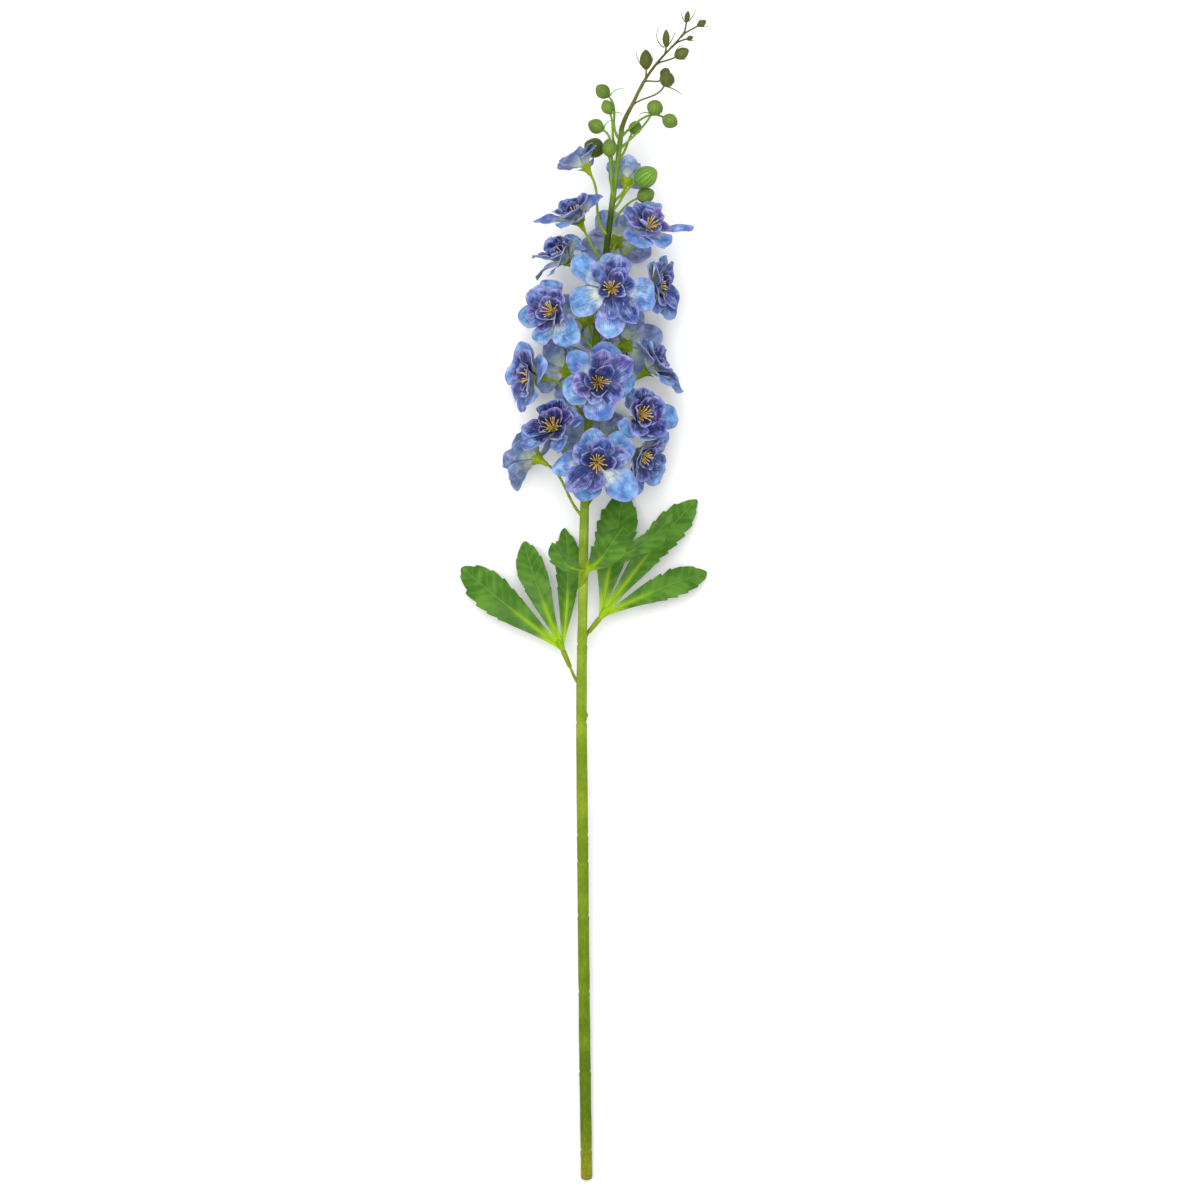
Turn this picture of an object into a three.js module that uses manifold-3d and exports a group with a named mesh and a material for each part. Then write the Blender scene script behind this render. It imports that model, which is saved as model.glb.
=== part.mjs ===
// An artificial delphinium stem, laid on its back on a table: a moulded stem with a slight bow, three
// three-lobed leaves on petioles, twenty-one cloth florets on moulded stalks, ten green buds and a moulded
// spray of small buds at the tip. Every piece that can be pulled off the stem is its own closed solid.
//
// Millimetres. +Y runs from the cut end to the tip, +X is to the right, +Z is up from the table. While the
// pieces are made, a place is [side, along, lift], with along measured from the cut end and lift from the
// table; at the end the whole group is moved so that the origin is the centre of its footprint.
import * as THREE from "three";
import { mergeVertices } from "three/addons/utils/BufferGeometryUtils.js";
import Module from "manifold-3d";

const wasm = await Module();
wasm.setup();

const GAP = 0.35; // left between two pieces that touch
const DEGREES = Math.PI / 180;
const UP = new THREE.Vector3(0, 0, 1);

const FINISHES = {
  stem: { color: 0x7c9a1c, roughness: 0.5, metalness: 0 },
  leaf: { color: 0x3c7410, roughness: 0.42, metalness: 0 },
  petals: { color: 0x6f86cc, roughness: 0.85, metalness: 0 },
  stalk: { color: 0x8fa011, roughness: 0.55, metalness: 0 },
  bud: { color: 0x6f9a45, roughness: 0.6, metalness: 0 },
  tip: { color: 0x5f6d2e, roughness: 0.6, metalness: 0 },
};

// ---- the table ----------------------------------------------------------------------------------

const TABLE_LIFT = 0.75; // middle of a petal or leaf that lies flat on the table
const PRESS_DEPTH = 5; // cloth that would hang lower than this above the table starts to bend along it

// A point of a soft piece, with what would hang through the table bent smoothly to lie along it.
function pressed(point) {
  const limit = TABLE_LIFT + PRESS_DEPTH;
  if (point.z < limit) point.z = TABLE_LIFT + PRESS_DEPTH * Math.exp((point.z - limit) / PRESS_DEPTH);
  return point;
}

// ---- lofting ------------------------------------------------------------------------------------

// Six times the volume inside a closed skin of triangles: negative if the skin is inside out.
function signedVolume(vertices, triangles) {
  let sum = 0;
  for (let i = 0; i < triangles.length; i += 3) {
    const [a, b, c] = [0, 1, 2].map((corner) => vertices[triangles[i + corner]]);
    sum += a.dot(new THREE.Vector3().crossVectors(b, c));
  }
  return sum;
}

// A closed skin of triangles as a geometry, turned right side out.
function skin(vertices, triangles) {
  if (signedVolume(vertices, triangles) < 0) triangles.reverse();
  return new THREE.BufferGeometry().setFromPoints(vertices).setIndex(triangles);
}

// A closed skin through a list of rings, each of as many points turning the same way. Each end is a flat
// fan.
function loft(rings) {
  const sides = rings[0].length;
  const triangles = [];
  for (let ring = 0; ring + 1 < rings.length; ring++)
    for (let side = 0; side < sides; side++) {
      const a = ring * sides + side;
      const b = ring * sides + ((side + 1) % sides);
      triangles.push(a, b, b + sides, a, b + sides, a + sides);
    }
  const last = (rings.length - 1) * sides;
  for (let side = 2; side < sides; side++) {
    const next = (side + 1) % sides;
    triangles.push(1, next, side);
    triangles.push(last + 1, last + side, last + next);
  }
  return skin(rings.flat(), triangles);
}

// A skin from columns of points that close on themselves both ways, as on a ring.
function closedBand(columns) {
  const rows = columns[0].length;
  const triangles = [];
  columns.forEach((_, column) => {
    const here = column * rows;
    const beyond = ((column + 1) % columns.length) * rows;
    for (let row = 0; row < rows; row++) {
      const next = (row + 1) % rows;
      triangles.push(here + row, here + next, beyond + next, here + row, beyond + next, beyond + row);
    }
  });
  return skin(columns.flat(), triangles);
}

// Two unit vectors square to a direction, the first as near to a hint as it can be.
function squareTo(direction, hint = UP) {
  const first = hint.clone().addScaledVector(direction, -hint.dot(direction));
  if (first.length() < 0.1) first.set(0, 1, 0).addScaledVector(direction, -direction.y);
  first.normalize();
  return [first, new THREE.Vector3().crossVectors(direction, first)];
}

// A ring of points round a centre, square to a direction.
function ring(centre, direction, radius, sides, turn = 0) {
  const [across, other] = squareTo(direction, new THREE.Vector3(1, 0, 0.3));
  return Array.from({ length: sides }, (_, side) => {
    const angle = ((side + turn) / sides) * 2 * Math.PI;
    return centre
      .clone()
      .addScaledVector(across, Math.cos(angle) * radius)
      .addScaledVector(other, Math.sin(angle) * radius);
  });
}

// A round tube along a curve, whose radius is a function of how far along it is, from 0 to 1.
function tube(curve, radiusAt, steps, sides) {
  return loft(
    Array.from({ length: steps + 1 }, (_, step) => {
      const t = step / steps;
      return ring(curve.getPoint(t), curve.getTangent(t), radiusAt(t), sides);
    }),
  );
}

// ---- joining and cutting ------------------------------------------------------------------------

function solidOf(geometry) {
  const vertProperties = geometry.attributes.position.array;
  const triVerts = new Uint32Array(geometry.index.array);
  return new wasm.Manifold(new wasm.Mesh({ numProp: 3, vertProperties, triVerts }));
}

function geometryOf(solid) {
  const { vertProperties, triVerts } = solid.getMesh();
  const position = new THREE.BufferAttribute(vertProperties, 3);
  const geometry = new THREE.BufferGeometry().setAttribute("position", position);
  return mergeVertices(geometry.setIndex(new THREE.BufferAttribute(triVerts, 1)));
}

const joined = (geometries) => geometryOf(wasm.Manifold.union(geometries.map(solidOf)));

// A piece with another cut out of it. Only its biggest body is kept, so a cut leaves no crumbs.
function cut(geometry, other) {
  const bodies = solidOf(geometry).subtract(solidOf(other)).decompose();
  return geometryOf(bodies.reduce((best, body) => (body.volume() > best.volume() ? body : best)));
}

const TOUCH = 0.005; // cubic millimetres
const overlapping = (one, other) => solidOf(one).intersect(solidOf(other)).volume() > TOUCH;

// ---- main stem ----------------------------------------------------------------------------------

// Where the stem's middle line runs: [side, along]. It leans evenly off the table, propped by its own
// florets.
const STEM_LINE = [
  [1.9, 0],
  [0.4, 110],
  [-1.2, 270],
  [-1.9, 370],
  [-0.4, 450],
  [1.6, 530],
  [5.4, 600],
  [9.4, 640],
  [15.4, 690],
  [21.4, 735],
  [26.2, 775],
  [28.6, 795],
];
const CUT_END_RADIUS = 4.3;
const LEAN = 0.066; // lift gained for each millimetre along the stem
const STEM_RADII = [
  [0, 4.3],
  [330, 4.2],
  [400, 3.7],
  [520, 3.3],
  [620, 2.9],
  [700, 2.4],
  [795, 1.7],
];
// Where the stem is pinched in: it was moulded round a core held at these places.
const PINCHES = [23, 83, 144, 202, 243, 263, 348, 407];
const PINCH_HALF_WIDTH = 2.2;
const PINCH_DEPTH = 0.55;
const STEM_SIDES = 10;
const stemLift = (along) => TABLE_LIFT + CUT_END_RADIUS - 0.65 + LEAN * along;

const stemCurve = new THREE.CatmullRomCurve3(
  STEM_LINE.map(([side, along]) => new THREE.Vector3(side, along, stemLift(along))),
  false,
  "centripetal",
);
const STEM_END = STEM_LINE.at(-1)[1];

// The parameter of the stem's curve at a distance along.
function stemParameter(along) {
  let low = 0;
  let high = 1;
  for (let step = 0; step < 30; step++) {
    const middle = (low + high) / 2;
    if (stemCurve.getPoint(middle).y < along) low = middle;
    else high = middle;
  }
  return (low + high) / 2;
}
const stemPoint = (along) => stemCurve.getPoint(stemParameter(along));

function stemRadius(along) {
  const next = Math.max(1, STEM_RADII.findIndex(([at]) => at >= along));
  const [[from, thick], [to, thin]] = [STEM_RADII[next - 1], STEM_RADII[next]];
  return thick + ((thin - thick) * (along - from)) / (to - from);
}

// The stem's skin, grown by a margin.
function stemSkin(margin) {
  const stations = [
    { along: 0, radius: CUT_END_RADIUS * 0.5 },
    { along: 1.2, radius: CUT_END_RADIUS * 0.85 },
    { along: 3.6, radius: CUT_END_RADIUS },
  ];
  for (const pinch of PINCHES)
    for (const [offset, depth] of [
      [-PINCH_HALF_WIDTH, 0],
      [0, PINCH_DEPTH],
      [PINCH_HALF_WIDTH, 0],
    ])
      stations.push({ along: pinch + offset, radius: stemRadius(pinch + offset) - depth });
  for (const along of [300, 470, 530, 580, 620, 655, 690, 725, 760, STEM_END])
    stations.push({ along, radius: stemRadius(along) });
  stations.sort((a, b) => a.along - b.along);
  return loft(
    stations.map(({ along, radius }) => {
      const t = stemParameter(along);
      return ring(stemCurve.getPoint(t), stemCurve.getTangent(t), radius + margin, STEM_SIDES);
    }),
  );
}

const stemRoom = stemSkin(GAP); // what the stem and its clearance take up

// ---- florets ------------------------------------------------------------------------------------

// Each floret, from the lowest up. side, along and lift place its hub, side and lift counted from the
// stem's middle line; turn is where it faces round the stem, 0 being straight up and 90 to the right; nod
// tips it towards the stem's tip; open runs from 0, a bud, to 1, wide open; size is against a full-grown
// one. petals are the angles and lengths of its outer petals, the angles counted as seen from its front,
// from the right round by the stem's tip; where they are left out, the petals are alike and spin is the
// angle of the first.
const FLORETS = [
  {
    side: 7.6, along: 543, lift: 26, turn: 0, nod: -3, open: 1, size: 1, foot: 505, room: 1.15,
    petals: [[38, 32], [108, 27], [178, 33], [248, 31], [317, 37]],
  },
  { side: 39, along: 550, lift: 4, turn: 56, nod: -24, spin: 40, open: 0.75, size: 0.88, foot: 507 },
  {
    side: -38, along: 547, lift: -2, turn: -122, nod: 28, open: 0.75, size: 1, foot: 501,
    petals: [[15, 30], [85, 30], [150, 28], [262, 31], [305, 28]],
  },
  { side: 6, along: 560, lift: -24, turn: 178, nod: 6, spin: 0, open: 0.9, size: 0.92, foot: 538 },
  {
    side: -25, along: 567, lift: 14, turn: -25, nod: 34, open: 0.85, size: 1, foot: 528,
    petals: [[20, 30], [95, 27], [195, 30], [235, 29], [300, 29]],
  },
  {
    side: 37, along: 578, lift: 11, turn: 30, nod: 9, open: 0.8, size: 0.96, foot: 545,
    petals: [[60, 27], [120, 27], [215, 28], [288, 31], [350, 29]],
  },
  {
    side: 5, along: 602, lift: 26, turn: 2, nod: 3, open: 1, size: 1, foot: 572, room: 1.15,
    petals: [[68, 30], [134, 32], [197, 28], [268, 33], [358, 32]],
  },
  { side: -42, along: 607, lift: 2, turn: -62, nod: 6, spin: 20, open: 0.8, size: 0.95, foot: 575 },
  { side: -19, along: 613, lift: -21, turn: -165, nod: 5, spin: 50, open: 0.9, size: 0.9, foot: 590 },
  { side: 42, along: 613, lift: -3, turn: 76, nod: 36, spin: 80, open: 0.75, size: 0.9, foot: 585 },
  { side: 23, along: 632, lift: -22, turn: 163, nod: 0, spin: 15, open: 0.9, size: 0.9, foot: 606 },
  { side: -9, along: 652, lift: -26, turn: -174, nod: 10, spin: 30, open: 0.9, size: 0.88, foot: 628 },
  {
    side: -33, along: 655, lift: 8, turn: -30, nod: 7, open: 0.85, size: 0.97, foot: 628, room: 1.1,
    petals: [[88, 29], [140, 28], [200, 27], [260, 28], [308, 33]],
  },
  {
    side: 7.5, along: 671, lift: 24, turn: 3, nod: 7, open: 1, size: 1.02, foot: 642, room: 1.3,
    petals: [[86, 29], [147, 36], [200, 37], [269, 37], [347, 34]],
  },
  { side: 37, along: 676, lift: 0, turn: 64, nod: 0, spin: 10, open: 0.8, size: 0.95, foot: 650 },
  { side: -28, along: 695, lift: -2, turn: -64, nod: 42, spin: 25, open: 0.75, size: 0.95, foot: 665 },
  { side: 6, along: 710, lift: -24, turn: 177, nod: 10, spin: 60, open: 0.9, size: 0.86, foot: 684 },
  {
    side: -24, along: 724, lift: 6, turn: -40, nod: 47, open: 0.6, size: 0.84, foot: 693,
    petals: [[62, 29], [135, 23], [205, 32], [270, 23], [330, 27]],
  },
  {
    side: 28, along: 717, lift: 6, turn: 24, nod: 34, open: 0.75, size: 0.88, foot: 690,
    petals: [[75, 29], [150, 23], [222, 29], [285, 27], [338, 31]],
  },
  { side: 8, along: 755, lift: -14, turn: 165, nod: 52, spin: 30, open: 0.5, size: 0.62, foot: 738 },
  { side: -24, along: 765, lift: -2, turn: -103, nod: 58, spin: 40, open: 0.5, size: 0.66, foot: 712 },
];

// The two rings of petals of a full-grown, wide open floret. A ring is one lobed sheet that bends evenly
// from rise, its slope in degrees where it leaves the hub, to lands, its slope at the petals' tips.
const OUTER_WHORL = { length: 30, rise: 34, lands: -8, start: 4.6, thick: 1.5, turned: 0, notch: 0.5 };
const INNER_WHORL = { length: 21, rise: 64, lands: 26, start: 3.2, thick: 1.4, turned: 0.5, notch: 0.6 };
const CLOSING = 44; // degrees added to rise and lands on a floret that is quite closed
const PETALS = 5;
const PETAL_SAMPLES = 4; // points round a ring for each petal: a tip, a notch and a shoulder on either side
const MIDWAY = 0.5; // share of a petal's length where its bend has a row of points
const PETAL_CUP = 2.2; // how far the notches stand forward of the tips
const HUB = { hole: 2.1, back: -0.7, valley: 4.4, valleyLift: 0.9, front: 1.7 };

// The floret's own axes: where it faces, and across it to the right and to the stem's tip.
function floretAxes({ turn, nod }) {
  const [t, n] = [turn * DEGREES, nod * DEGREES];
  const face = new THREE.Vector3(Math.sin(t) * Math.cos(n), Math.sin(n), Math.cos(t) * Math.cos(n));
  const [up, left] = squareTo(face, new THREE.Vector3(0, 1, 0));
  return { face, up, right: left.clone().negate() };
}

// The angle and the length of each outer petal.
function outerPetals({ petals, spin, size }) {
  if (petals) return petals;
  return Array.from({ length: PETALS }, (_, petal) => [
    spin + (petal * 360) / PETALS,
    OUTER_WHORL.length * size,
  ]);
}

function hubOf(floret) {
  const axis = stemPoint(floret.along);
  return new THREE.Vector3(axis.x + floret.side, floret.along, axis.z + floret.lift);
}
const hubs = FLORETS.map(hubOf);

// Cloth petals give way to each other: a point of one floret stays on its own side of the plane between
// its hub and each neighbour's, and bends along that plane over the last few millimetres. The plane stands
// halfway, or nearer the floret that has less room.
const YIELD = 5;
const HALF_GAP = 0.9;
const NEIGHBOUR_REACH = 62;
function givenWay(point, hub, { room = 1 }) {
  for (const [number, other] of hubs.entries()) {
    const apart = other.clone().sub(hub);
    const distance = apart.length();
    if (distance === 0 || distance > NEIGHBOUR_REACH) continue;
    const toward = apart.normalize();
    const { room: otherRoom = 1 } = FLORETS[number];
    const bendFrom = (distance * room) / (room + otherRoom) - HALF_GAP - YIELD;
    const past = point.clone().sub(hub).dot(toward) - bendFrom;
    if (past > 0) point.addScaledVector(toward, YIELD * (1 - Math.exp(-past / YIELD)) - past);
  }
  return pressed(point);
}

// How far out and forward of the hub a ring of a length is, at a share of it; the slope there comes with
// them.
function whorlAt(whorl, floret, share, length) {
  const closing = (1 - floret.open) * CLOSING;
  const rise = (whorl.rise + closing) * DEGREES;
  const lands = (whorl.lands + closing) * DEGREES;
  const slope = rise + (lands - rise) * share;
  return {
    slope,
    out: whorl.start + (length * (Math.sin(slope) - Math.sin(rise))) / (lands - rise),
    forward: (length * (Math.cos(rise) - Math.cos(slope))) / (lands - rise),
  };
}

// The floret's petals on their hub, made as one closed band round the stalk's hole: out along the back of
// the outer ring, back along its front, up the back of the inner ring and down its front.
function petalsSkin(floret) {
  const { face, up, right } = floretAxes(floret);
  const hub = hubOf(floret);
  const petals = outerPetals(floret);
  const column = (sample) => {
    const turned = sample / PETAL_SAMPLES;
    const petal = Math.floor(turned);
    const [from, fromLength] = petals[petal];
    const [to, toLength] = petals[(petal + 1) % PETALS];
    const onward = turned - petal;
    const angle = (from + onward * ((to - from + 360) % 360)) * DEGREES;
    const outerLength = fromLength + onward * (toLength - fromLength);
    const outward = right.clone().multiplyScalar(Math.cos(angle)).addScaledVector(up, Math.sin(angle));
    const place = (out, forward) => hub.clone().addScaledVector(outward, out).addScaledVector(face, forward);
    const sheet = (whorl, share, side) => {
      const lobe = (1 + Math.cos((turned - whorl.turned) * 2 * Math.PI)) / 2;
      const full = whorl === OUTER_WHORL ? outerLength : whorl.length * floret.size;
      const length = full * (whorl.notch + (1 - whorl.notch) * Math.sqrt(lobe));
      const { slope, out, forward } = whorlAt(whorl, floret, share, length);
      const middle = place(out, forward + PETAL_CUP * (1 - lobe) * share);
      const upward = face.clone().multiplyScalar(Math.cos(slope)).addScaledVector(outward, -Math.sin(slope));
      return givenWay(middle, hub, floret).addScaledVector(upward, (side * whorl.thick) / 2);
    };
    return [
      place(HUB.hole, HUB.back),
      sheet(OUTER_WHORL, MIDWAY, -1),
      sheet(OUTER_WHORL, 1, 0),
      sheet(OUTER_WHORL, MIDWAY, 1),
      place(HUB.valley, HUB.valleyLift),
      sheet(INNER_WHORL, MIDWAY, -1),
      sheet(INNER_WHORL, 1, 0),
      sheet(INNER_WHORL, MIDWAY, 1),
      place(HUB.hole, HUB.front),
    ];
  };
  return closedBand(Array.from({ length: PETALS * PETAL_SAMPLES }, (_, sample) => column(sample)));
}

// Heights over the hub, and radii, of the stalk's cup, its peg through the petals and its tuft of stamens.
const CUP_LENGTH = 11;
const CUP_RIM = -1.3;
const STALK_PROFILE = [
  [-CUP_LENGTH, 1.25],
  [-4.5, 2.3],
  [CUP_RIM, 4],
  [-1.15, 1.5],
  [1.5, 1.5],
  [7.5, 3.4],
  [9, 2.6],
];
const PEDICEL_RADIUS = 1.0;
const PEDICEL_STEPS = 4;
const STALK_SIDES = 6;

// The line of a stalk from the middle of the stem to the foot of its cup: it leaves the stem towards the
// tip, and comes up behind the cup.
function pedicelCurve(foot, end, facing) {
  const start = stemPoint(foot);
  const span = start.distanceTo(end);
  const outward = end.clone().sub(start).setY(0).normalize();
  const leave = outward.multiplyScalar(0.75).add(new THREE.Vector3(0, 0.66, 0)).normalize();
  return new THREE.CubicBezierCurve3(
    start,
    start.clone().addScaledVector(leave, span * 0.4),
    end.clone().addScaledVector(facing, -span * 0.4),
    end,
  );
}

function stalkSkin(floret) {
  const { face } = floretAxes(floret);
  const hub = hubOf(floret);
  const cupFoot = hub.clone().addScaledVector(face, CUP_RIM - (CUP_LENGTH + CUP_RIM) * floret.size);
  const curve = pedicelCurve(floret.foot, cupFoot, face);
  const rings = [];
  for (let step = 0; step < PEDICEL_STEPS; step++) {
    const t = step / PEDICEL_STEPS;
    rings.push(ring(curve.getPoint(t), curve.getTangent(t), PEDICEL_RADIUS, STALK_SIDES));
  }
  for (const [height, radius] of STALK_PROFILE) {
    const scaled = height < CUP_RIM ? CUP_RIM + (height - CUP_RIM) * floret.size : height;
    rings.push(ring(hub.clone().addScaledVector(face, scaled), face, radius, STALK_SIDES));
  }
  return cut(loft(rings), stemRoom);
}

// ---- buds ---------------------------------------------------------------------------------------

// The green buds over the florets: where the middle of each is, [side, along, lift] with side and lift
// counted from the stem's middle line, where it points, how long and wide it is, and where its stalk
// leaves the stem.
const BUDS = [
  { at: [24, 744, -9], turn: 100, nod: 22, long: 14, wide: 12.5, foot: 722 },
  { at: [23, 757, 7], turn: 72, nod: 26, long: 17, wide: 15.5, foot: 730 },
  { at: [-7.5, 777.5, 7], turn: -20, nod: 72, long: 14, wide: 11, foot: 742 },
  { at: [-19, 779, -5], turn: -80, nod: 22, long: 16, wide: 15, foot: 748 },
  { at: [-19.5, 794, 4], turn: -75, nod: 26, long: 13, wide: 11.2, foot: 763 },
  { at: [10, 794.5, -11], turn: 140, nod: 50, long: 12, wide: 9.6, foot: 768 },
  { at: [36, 798.5, -3], turn: 80, nod: -30, long: 12.5, wide: 11.2, foot: 787 },
  { at: [24.6, 807.5, 7], turn: 30, nod: 40, long: 12.5, wide: 12.4, foot: 777 },
  { at: [-11, 808.5, 2], turn: -50, nod: 60, long: 11.5, wide: 9.6, foot: 777 },
  { at: [-14.5, 820.5, 0], turn: -72, nod: 40, long: 12.6, wide: 11, foot: 785 },
];
const BUD_SIDES = 6;
const BUD_STEPS = [0.02, 0.25, 0.55, 0.82, 0.99];
const BUD_STALK_RADIUS = 0.85;

// A bud's radius at a share of its length: an egg, a little fuller towards its tip.
const budRadius = (share) => Math.sin(Math.PI * share ** 0.95) ** 0.6;

function facing({ turn, nod }) {
  return floretAxes({ turn, nod }).face;
}

function budMiddle({ at: [side, along, lift] }) {
  const axis = stemPoint(Math.min(along, STEM_END));
  return new THREE.Vector3(axis.x + side, along, axis.z + lift);
}

// Rings of a bud, from its foot to its tip.
function budRings(foot, direction, long, wide) {
  return BUD_STEPS.map((share) => {
    const centre = foot.clone().addScaledVector(direction, long * share);
    return ring(centre, direction, Math.max(0.9, (wide / 2) * budRadius(share)), BUD_SIDES);
  });
}

function budSkin(bud) {
  const direction = facing(bud);
  const foot = budMiddle(bud).addScaledVector(direction, -bud.long / 2);
  const curve = pedicelCurve(bud.foot, foot, direction);
  const rings = [0, 0.3, 0.6, 0.85].map((t) =>
    ring(curve.getPoint(t), curve.getTangent(t), BUD_STALK_RADIUS, BUD_SIDES),
  );
  return cut(loft([...rings, ...budRings(foot, direction, bud.long, bud.wide)]), stemRoom);
}

// ---- tip spray ----------------------------------------------------------------------------------

// The moulded spray that carries on from the stem: its own line, and its small buds on twigs.
const TIP_LINE = [
  [28.9, 796.6],
  [36.8, 812],
  [43.6, 826],
  [54, 841],
  [68.6, 857],
  [74.2, 863.2],
];
const TIP_BUDS = [
  { at: [62.3, 829, 8], turn: 30, nod: 45, long: 12, wide: 11.6, foot: 0.16 },
  { at: [61, 835, -3], turn: 120, nod: 60, long: 9, wide: 8, foot: 0.42 },
  { at: [46.6, 844.2, 4], turn: -8, nod: 82, long: 15, wide: 9.4, foot: 0.24 },
  { at: [73.4, 849, 3], turn: 78, nod: 28, long: 11.5, wide: 8.8, foot: 0.6 },
  { at: [61.6, 860.2, 1], turn: 5, nod: 84, long: 13.5, wide: 5.4, foot: 0.66 },
  { at: [79.5, 861, -2], turn: 80, nod: 15, long: 5, wide: 3.8, foot: 0.84 },
  { at: [88.3, 871.4, 1], turn: 88, nod: 32, long: 7.5, wide: 5, foot: 0.97 },
  { at: [77.4, 876.5, 0], turn: 40, nod: 76, long: 8.5, wide: 4.2, foot: 0.98 },
];
const TIP_RADII = [1.6, 0.6];
const TWIG_RADIUS = 0.55;

function tipSkin() {
  const curve = new THREE.CatmullRomCurve3(
    TIP_LINE.map(([side, along]) => new THREE.Vector3(side, along, stemLift(along))),
  );
  const skins = [tube(curve, (t) => TIP_RADII[0] + (TIP_RADII[1] - TIP_RADII[0]) * t, 6, BUD_SIDES)];
  for (const bud of TIP_BUDS) {
    const [side, along, lift] = bud.at;
    const direction = facing(bud);
    const middle = new THREE.Vector3(side, along, stemLift(along) + lift);
    const foot = middle.addScaledVector(direction, -bud.long / 2);
    const start = curve.getPoint(bud.foot);
    const span = start.distanceTo(foot);
    const bend = foot.clone().addScaledVector(direction, -span * 0.5);
    const twig = new THREE.QuadraticBezierCurve3(start, bend, foot);
    const rings = [0, 0.5, 0.9].map((t) => ring(twig.getPoint(t), twig.getTangent(t), TWIG_RADIUS, BUD_SIDES));
    skins.push(loft([...rings, ...budRings(foot, direction, bud.long, bud.wide)]));
  }
  return joined(skins);
}

// ---- leaves -------------------------------------------------------------------------------------

// Each leaf: its base, [side, along, lift] from the table; its three lobes, each as the place of its tip,
// its greatest width, how far it arches over the straight line to its tip, and the way its upper face
// looks; and its petiole, from a foot on the stem to its sleeve under the base.
const LEAVES = {
  leaf_left: {
    base: [-16.6, 404, 22],
    foot: 373,
    lobes: [
      { tip: [-93, 465, 1.2], wide: 29, arch: 9, up: [0.2, -0.25, 1] },
      { tip: [-46, 485, 1.6], wide: 22, arch: 11, up: [-0.1, -0.1, 1] },
      { tip: [-14.4, 495, 5], wide: 21, arch: 8, up: [0.35, 0, 1] },
    ],
  },
  leaf_right: {
    base: [13.2, 428, 24],
    foot: 402,
    lobes: [
      { tip: [31, 522, 3], wide: 31, arch: 4, up: [-0.2, -0.1, 1] },
      { tip: [85.6, 517, 2], wide: 25, arch: 9, up: [-0.2, 0.1, 1] },
      { tip: [93.4, 461, 1.2], wide: 22, arch: 10, up: [-0.1, 0.2, 1] },
    ],
  },
  leaf_front: {
    base: [2.2, 462, 46],
    foot: 447,
    lobes: [
      { tip: [-24, 482, 72], wide: 20, arch: 6, up: [-0.2, -0.75, 0.6] },
      { tip: [29, 495, 82], wide: 26, arch: 5, up: [-0.3, -0.9, 0.3] },
      { tip: [66, 503, 62], wide: 22, arch: 7, up: [0.1, -0.8, 0.55] },
    ],
  },
};
const LOBE_STEPS = [0, 0.2, 0.45, 0.7, 0.9, 1];
const LOBE_THICK = 1.3;
const SLEEVE = { length: 14, foot: 1.6, top: 2.1 };

// Half a lobe's width at a share of its length: a strap at the base that swells past the middle and comes
// to a point.
const lobeHalfWidth = (share) => 0.12 + 0.88 * Math.sin(Math.PI * share ** 1.5);

function lobeSkin(base, { tip, wide, arch, up }) {
  const start = new THREE.Vector3(...base);
  const end = new THREE.Vector3(...tip);
  const run = end.clone().sub(start);
  const upward = squareTo(run.clone().normalize(), new THREE.Vector3(...up))[0];
  const sideways = new THREE.Vector3().crossVectors(run, upward).normalize();
  return loft(
    LOBE_STEPS.map((share) => {
      const rise = arch * Math.sin(Math.PI * share);
      const middle = start.clone().addScaledVector(run, share).addScaledVector(upward, rise);
      const half = (wide / 2) * lobeHalfWidth(share) * (share === 1 ? 0.4 : 1);
      const left = pressed(middle.clone().addScaledVector(sideways, half));
      const right = pressed(middle.clone().addScaledVector(sideways, -half));
      pressed(middle);
      const thick = (LOBE_THICK / 2) * (share < 0.3 ? 1.8 : 1);
      return [
        left,
        middle.clone().addScaledVector(upward, thick),
        right,
        middle.clone().addScaledVector(upward, -thick),
      ];
    }),
  );
}

// The middle of a leaf's three lobes gives the way that its sleeve points.
function leafHeading({ base, lobes }) {
  const start = new THREE.Vector3(...base);
  const heading = new THREE.Vector3();
  for (const { tip } of lobes) heading.add(new THREE.Vector3(...tip).sub(start).normalize());
  return heading.normalize();
}

function leafSkin(leaf) {
  const start = new THREE.Vector3(...leaf.base);
  const heading = leafHeading(leaf);
  const knob = loft(
    [
      [-2, 1.5],
      [3, 2.6],
      [12, 1.6],
    ].map(([distance, radius]) => ring(start.clone().addScaledVector(heading, distance), heading, radius, 6)),
  );
  return joined([knob, ...leaf.lobes.map((lobe) => lobeSkin(leaf.base, lobe))]);
}

function petioleSkin(leaf) {
  const heading = leafHeading(leaf);
  const top = new THREE.Vector3(...leaf.base).addScaledVector(heading, -2 - GAP);
  const sleeveFoot = top.clone().addScaledVector(heading, -SLEEVE.length);
  const curve = pedicelCurve(leaf.foot, sleeveFoot, heading);
  const rings = [0, 0.3, 0.6, 0.9].map((t) => ring(curve.getPoint(t), curve.getTangent(t), 1.05, 6));
  for (const [distance, radius] of [
    [0, SLEEVE.foot],
    [SLEEVE.length * 0.4, SLEEVE.top],
    [SLEEVE.length, 1.3],
  ])
    rings.push(ring(sleeveFoot.clone().addScaledVector(heading, distance), heading, radius, 6));
  return cut(loft(rings), stemRoom);
}

// ---- putting it together ------------------------------------------------------------------------

const geometries = new Map();
const finishes = new Map();
function put(name, geometry, finish) {
  geometries.set(name, geometry);
  finishes.set(name, finish);
}
const floretName = (index) => `floret_${String(index + 1).padStart(2, "0")}`;
const budName = (index) => `bud_${String(index + 1).padStart(2, "0")}`;

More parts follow.
